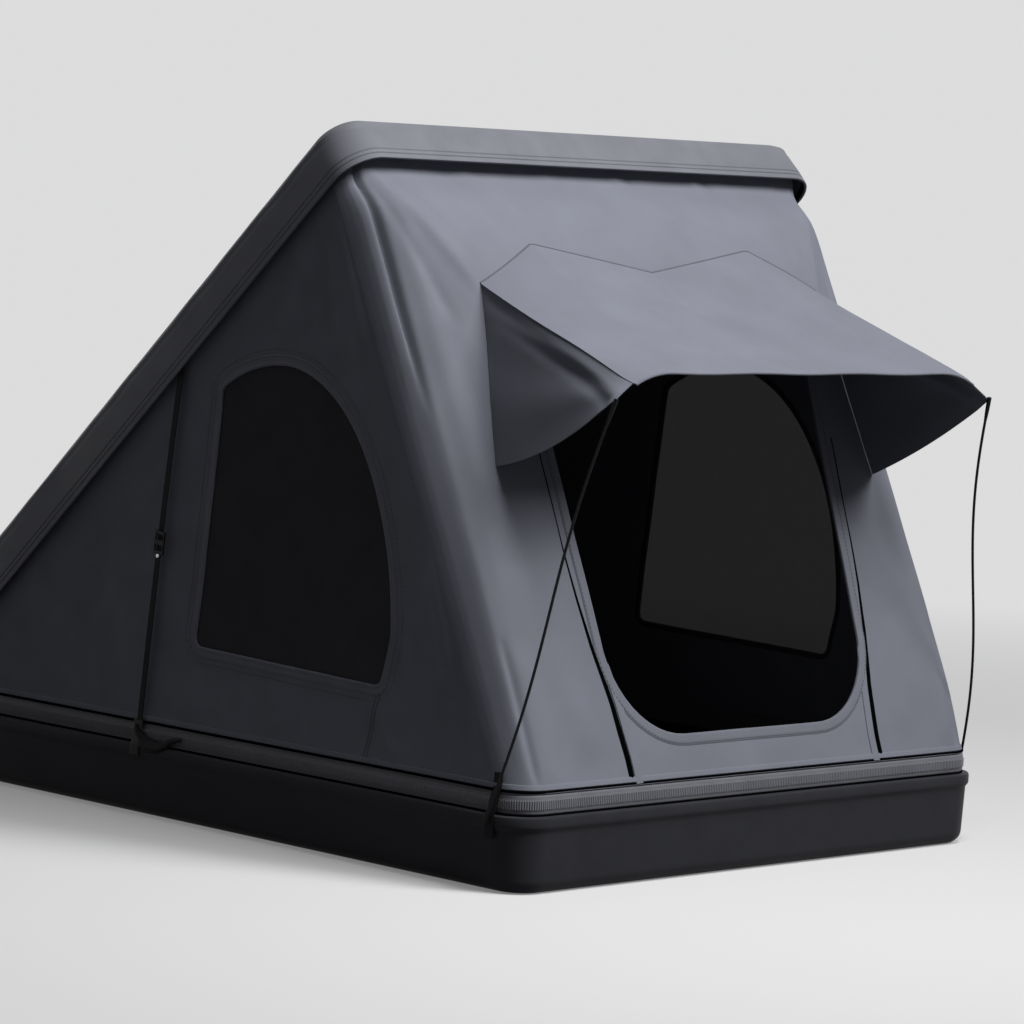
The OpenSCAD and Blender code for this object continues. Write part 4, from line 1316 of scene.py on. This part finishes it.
class TENT_OT_straps(bpy.types.Operator):
    """Side straps, their adjusters and hooks"""
    bl_idname = "tent.straps"
    bl_label = "Side straps"
    bl_options = {"REGISTER", "UNDO"}

    # Distance from the middle plane, the strap's ends as y and z, its directions and its adjuster's place
    X = HALF_W - BAND_IN + 0.007
    TOP = np.array(opened(-0.267 * HALF_L, TRAY_TOP + 0.012))
    LOW = np.array([TOP[0] + 0.110, TRAY_TOP + 0.044])
    LEAN = (TOP - LOW) / np.linalg.norm(TOP - LOW)
    ACROSS = np.array([LEAN[1], -LEAN[0]])
    KNOT = LOW + 0.51 * (TOP - LOW)
    # Edges of the adjuster's frame and slots, across and along the strap
    BARS_ACROSS = np.array([-0.018, -0.0125, 0.0125, 0.018])
    BARS_ALONG = np.array([-0.027, -0.019, -0.006, 0.006, 0.019, 0.027])
    HOOK = 0.032

    def execute(self, context):
        wide = sizes().strap
        for side, word in SIDES:
            def place(u, v):
                off = (v - 0.5) * wide + 0.004 * np.sin(np.pi * u)
                p = self.LOW + np.outer(u, self.TOP - self.LOW) + np.outer(off, self.ACROSS)
                return np.column_stack([np.full(len(u), side * self.X), p])

            strap = cloth(f"strap_{word}", 60, 6, place, (0.75, wide))
            sew(strap, 0.0018, (side, 0, 0), "webbing", "webbing", f"side_strap_{word}")
            self.adjuster(side, word)
            self.hook(side, word)
            self.tail(side, word)
        return {"FINISHED"}

    def adjuster(self, side, word):
        """Ladder buckle: a plate with two slots, thickened and bevelled, and its pin."""
        def place(u, v):
            a = self.BARS_ACROSS[step_of(u, len(self.BARS_ACROSS))]
            b = self.BARS_ALONG[step_of(v, len(self.BARS_ALONG))]
            p = self.KNOT + np.outer(a, self.ACROSS) + np.outer(b, self.LEAN)
            return np.column_stack([np.full(len(u), side * (self.X + 0.0058)), p])

        plate = cloth(f"adjuster_{word}", 3, 5, place, (0.036, 0.054))
        middles = of_faces(plate, "center")[:, 1:] - self.KNOT
        cut_faces(plate, (np.abs(middles @ self.ACROSS) < 0.006)
                  & (np.abs(np.abs(middles @ self.LEAN) - 0.0125) < 0.003))
        thicken(plate, 0.0045, (side, 0, 0))
        modify(plate, "BEVEL", width=0.0014, segments=2, limit_method="ANGLE")
        settle(plate, "base", "trim", "hard_black", f"strap_adjuster_{word}", squash=FOLDS_DOWN)
        begin()
        bpy.ops.mesh.primitive_cylinder_add(vertices=20, radius=0.0048, depth=0.006, rotation=(0, math.pi / 2, 0))
        pin = named(f"adjuster_pin_{word}")
        bpy.ops.object.transform_apply(rotation=True)
        modify(pin, "BEVEL", width=0.0014, segments=2, limit_method="ANGLE")
        put(pin, points(pin) + (side * (self.X + 0.004), *(self.KNOT - self.LEAN * 0.031 - self.ACROSS * 0.001)))
        settle(pin, "base", "steel", "steel", squash=FOLDS_DOWN)

    def hook(self, side, word):
        """Bent hook that takes the strap's end over the bead."""
        face = self.X + 0.0022
        line = evenly([(face, self.LOW[1] + 0.012), (face, TRAY_TOP + 0.016), (HALF_W + 0.0005, TRAY_TOP + 0.006),
                       (HALF_W + 0.0032, TRAY_TOP), (HALF_W + 0.0032, TRAY_TOP - 0.026)], 0.004, False)

        def place(u, v):
            x, z = line[step_of(u, len(line))].T
            return np.column_stack([side * x, self.LOW[0] + (v - 0.5) * self.HOOK, z])

        plate = cloth(f"hook_{word}", len(line) - 1, 4, place, (0.09, self.HOOK))
        thicken(plate, 0.0030, (side, 0, 0))
        modify(plate, "BEVEL", width=0.0009, segments=2, limit_method="ANGLE")
        settle(plate, "base", "trim", "hard_black", f"strap_hook_{word}", squash=TUCKS_UNDER)

    def tail(self, side, word):
        """Tail of the strap, folded and tucked forward along the band."""
        run = evenly([(0.006, 0.024), (-0.010, 0.004), (-0.045, -0.012), (-0.085, -0.010), (-0.125, 0.008),
                      (-0.160, 0.016)], 0.008, False)
        half = np.interp(np.linspace(0, 1, len(run)), (0, 0.25, 0.55, 1), (0.010, 0.017, 0.012, 0.004))

        def place(u, v):
            k = step_of(u, len(run))
            z = TRAY_TOP + 0.012 + run[k, 1] + (v - 0.5) * 2 * half[k]
            over = np.interp(z, (TRAY_TOP - 0.002, TRAY_TOP + 0.010), (HALF_W + 0.0050, self.X + 0.0045))
            return np.column_stack([side * (over + 0.003 * np.sin(np.pi * v)), self.LOW[0] + run[k, 0], z])

        loose = cloth(f"strap_tail_{word}", len(run) - 1, 8, place, (0.19, 0.03))
        sew(loose, 0.0024, (side, 0, 0), "webbing", "webbing", squash=TUCKS_UNDER)


class TENT_OT_bed(bpy.types.Operator):
    """Mattress, swelled by a cloth simulation"""
    bl_idname = "tent.bed"
    bl_label = "Bed"
    bl_options = {"REGISTER", "UNDO"}

    VOXEL = 0.018
    PRESSURE = 4
    FRAMES = 20

    def execute(self, context):
        low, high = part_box("mattress")
        size = high - low
        begin()
        bpy.ops.mesh.primitive_cube_add(size=1)
        bed = named("bed_mattress")
        with editing():
            bpy.ops.transform.resize(value=(size.x - 0.012, size.y - 0.012, size.z - 0.014))
            bpy.ops.transform.translate(value=(0, 0, (low.z + high.z) / 2 - 0.006))
        # Its upright edges are rounded
        a, b = points(bed)[edge_ends(bed)].swapaxes(0, 1)
        mark(bed, edges=np.abs(a - b)[:, 2] > 0.01)
        with editing("EDGE"):
            bpy.ops.mesh.bevel(offset=0.07, segments=6)
        in_edit(bed, (bpy.ops.mesh.normals_make_consistent, {"inside": False}))
        bed.data.remesh_voxel_size = self.VOXEL
        bpy.ops.object.voxel_remesh()
        start = points(bed)
        self.pump(bed, context.scene)
        move = points(bed) - start
        far = np.linalg.norm(move, axis=1, keepdims=True)
        co = start + move * np.minimum(1, sizes().bed_swell / np.maximum(far, 1e-9))
        put(bed, np.clip(co, np.array(low) + 0.001, np.array(high) + 0.004))
        modify(bed, "SUBSURF", levels=1, render_levels=1)
        settle(bed, "base", "bed", "bed_cover", "mattress")
        return {"FINISHED"}

    def pump(self, bed, scene):
        """Swells the bed by pressure in its cover."""
        pump = bed.modifiers.new("Pump", "CLOTH")
        pump.settings.use_pressure = True
        pump.settings.uniform_pressure_force = self.PRESSURE
        pump.settings.effector_weights.gravity = 0
        pump.settings.quality = 4
        for step in range(1, self.FRAMES + 1):
            scene.frame_set(step)
        choose(bed)
        bpy.ops.object.modifier_apply(modifier=pump.name)
        scene.frame_set(1)


class TENT_OT_fittings(bpy.types.Operator):
    """Finishes of the CAD pieces that show as they are"""
    bl_idname = "tent.fittings"
    bl_label = "Fittings"
    bl_options = {"REGISTER", "UNDO"}

    LOOKS = {
        "floor_panel": "board", "mounting_rails": "alloy", "hinge_bracket": "black_steel", "hinge_arm": "black_steel",
        "hinge_pins": "steel", "strut_bracket": "steel", "strut_stud": "steel", "strut_barrel": "black_steel",
        "strut_rod": "steel", "lid_seal": "seal", "fabric_rail": "alloy",
    }

    def execute(self, context):
        for name, node in frame["nodes"].items():
            if node.hide_render:
                continue
            look = next((v for k, v in self.LOOKS.items() if name.startswith(k)), None)
            if look is None:
                raise RuntimeError(f"no finish for the node {name}")
            for slot in node.material_slots:
                slot.material = finish_named(look)
        return {"FINISHED"}


class TENT_OT_stage(bpy.types.Operator):
    """Floor, light and camera"""
    bl_idname = "tent.stage"
    bl_label = "Stage"
    bl_options = {"REGISTER", "UNDO"}

    # Camera: where it stands, its angles in degrees and its lens in millimetres
    STAND = (-6.5076, -6.9787, 1.4319)
    AZIMUTH, ELEVATION, ROLL = -43.744, 4.3194, 2.365
    LENS, SENSOR = 141.55, 36
    # Backdrop as it is seen, the light it throws, and the distances over which the floor takes its tone
    BACKDROP, AMBIENT = 0.72, 0.088
    FLOOR_NEAR, FLOOR_FAR = 2.6, 6.0

    def execute(self, context):
        scene = context.scene
        begin()
        bpy.ops.mesh.primitive_plane_add(size=60, location=(0, 0, -0.0005))
        floor = named("studio_floor")
        floor.data.materials.append(self.floor_look())

        world = bpy.data.worlds.new("studio")
        scene.world = world
        world.use_nodes = True
        tree = world.node_tree
        back = tree.nodes["Background"]
        mix = tree.nodes.new("ShaderNodeMix")
        for socket, value in ((0, self.seen(tree)), (2, self.AMBIENT), (3, self.BACKDROP)):
            feed(tree, mix.inputs[socket], value)
        back.inputs[0].default_value = (1, 1, 1.01, 1)
        tree.links.new(mix.outputs[0], back.inputs[1])

        self.lamp("key", "SUN", (0.36, -0.62, 0.70), 2.0, angle=math.radians(20))
        box = self.lamp("softbox", "AREA", (-0.25, -1.6, 2.4), 88, size=1.4)
        box.location = (-0.3, -2.3, 3.6)

        a, e, r = (math.radians(v) for v in (self.AZIMUTH, self.ELEVATION, self.ROLL))
        back_way = Vector((math.sin(a) * math.cos(e), -math.cos(a) * math.cos(e), math.sin(e)))
        right = Vector((math.cos(a), math.sin(a), 0))
        up = back_way.cross(right)
        side = right * math.cos(r) + up * math.sin(r)
        high = up * math.cos(r) - right * math.sin(r)
        data = bpy.data.cameras.new("photo_view")
        data.lens, data.sensor_width, data.sensor_fit, data.clip_end = self.LENS, self.SENSOR, "HORIZONTAL", 200
        camera = bpy.data.objects.new("photo_view", data)
        scene.collection.objects.link(camera)
        camera.matrix_world = Matrix((side, high, back_way)).transposed().to_4x4()
        camera.location = self.STAND
        scene.camera = camera
        scene.view_settings.view_transform = "Standard"
        return {"FINISHED"}

    @staticmethod
    def seen(tree):
        """1 for rays that show the stage itself: camera, glossy and transmission rays."""
        path = tree.nodes.new("ShaderNodeLightPath")
        total = path.outputs["Is Camera Ray"]
        for word in ("Is Glossy Ray", "Is Transmission Ray"):
            item = tree.nodes.new("ShaderNodeMath")
            item.operation = "MAXIMUM"
            tree.links.new(total, item.inputs[0])
            tree.links.new(path.outputs[word], item.inputs[1])
            total = item.outputs[0]
        return total

    def floor_look(self):
        """Pale floor that keeps the shadow, throws little light back and far out takes the backdrop's tone."""
        material, tree, shader = finish("studio_floor", colours().floor, 0.9, Specular_IOR_Level=0.0)
        length = tree.nodes.new("ShaderNodeVectorMath")
        length.operation = "LENGTH"
        tree.links.new(place_of(tree), length.inputs[0])
        far = add(tree, "ShaderNodeMapRange", Value=length.outputs["Value"],
                  **{"From Min": self.FLOOR_NEAR, "From Max": self.FLOOR_FAR}).outputs[0]
        seen = self.seen(tree)
        tone = blend(tree, far, (*[0.68 * c for c in colours().floor], 1), (0, 0, 0, 1))
        tone = blend(tree, seen, (0.10, 0.10, 0.105, 1), tone)
        glow = blend(tree, far, (0.17, 0.17, 0.17, 1), (*[self.BACKDROP] * 3, 1))
        tree.links.new(tone, shader.inputs["Base Color"])
        tree.links.new(glow, shader.inputs["Emission Color"])
        tree.links.new(seen, shader.inputs["Emission Strength"])
        return material

    @staticmethod
    def lamp(name, kind, way, power, **settings):
        """Lamp that shines from a direction."""
        data = bpy.data.lights.new(name, kind)
        data.energy = power
        for key, value in settings.items():
            setattr(data, key, value)
        lamp = bpy.data.objects.new(name, data)
        bpy.context.scene.collection.objects.link(lamp)
        lamp.rotation_euler = Vector(way).to_track_quat("Z", "Y").to_euler()
        return lamp


OPERATORS = (TENT_OT_base, TENT_OT_lid, TENT_OT_walls, TENT_OT_windows, TENT_OT_door, TENT_OT_awning,
             TENT_OT_rods, TENT_OT_straps, TENT_OT_bed, TENT_OT_fittings, TENT_OT_stage)


class TENT_PT_panel(bpy.types.Panel):
    """Sidebar panel with the tent's sizes, colours and pieces."""
    bl_idname = "TENT_PT_panel"
    bl_label = "Roof top tent"
    bl_space_type = "VIEW_3D"
    bl_region_type = "UI"
    bl_category = "Tent"

    def draw(self, context):
        for group in (context.scene.tent_sizes, context.scene.tent_colours):
            for key in group.__annotations__:
                self.layout.prop(group, key)
        for operator in OPERATORS:
            self.layout.operator(operator.bl_idname)


CLASSES = (TentSizes, TentColours, *OPERATORS, TENT_PT_panel)


def register():
    for item in CLASSES:
        bpy.utils.register_class(item)
    bpy.types.Scene.tent_sizes = PointerProperty(type=TentSizes)
    bpy.types.Scene.tent_colours = PointerProperty(type=TentColours)


def unregister():
    del bpy.types.Scene.tent_sizes, bpy.types.Scene.tent_colours
    for item in reversed(CLASSES):
        bpy.utils.unregister_class(item)


def main():
    register()
    for operator in OPERATORS:
        group, name = operator.bl_idname.split(".")
        getattr(getattr(bpy.ops, group), name)()


if __name__ == "__main__":
    main()
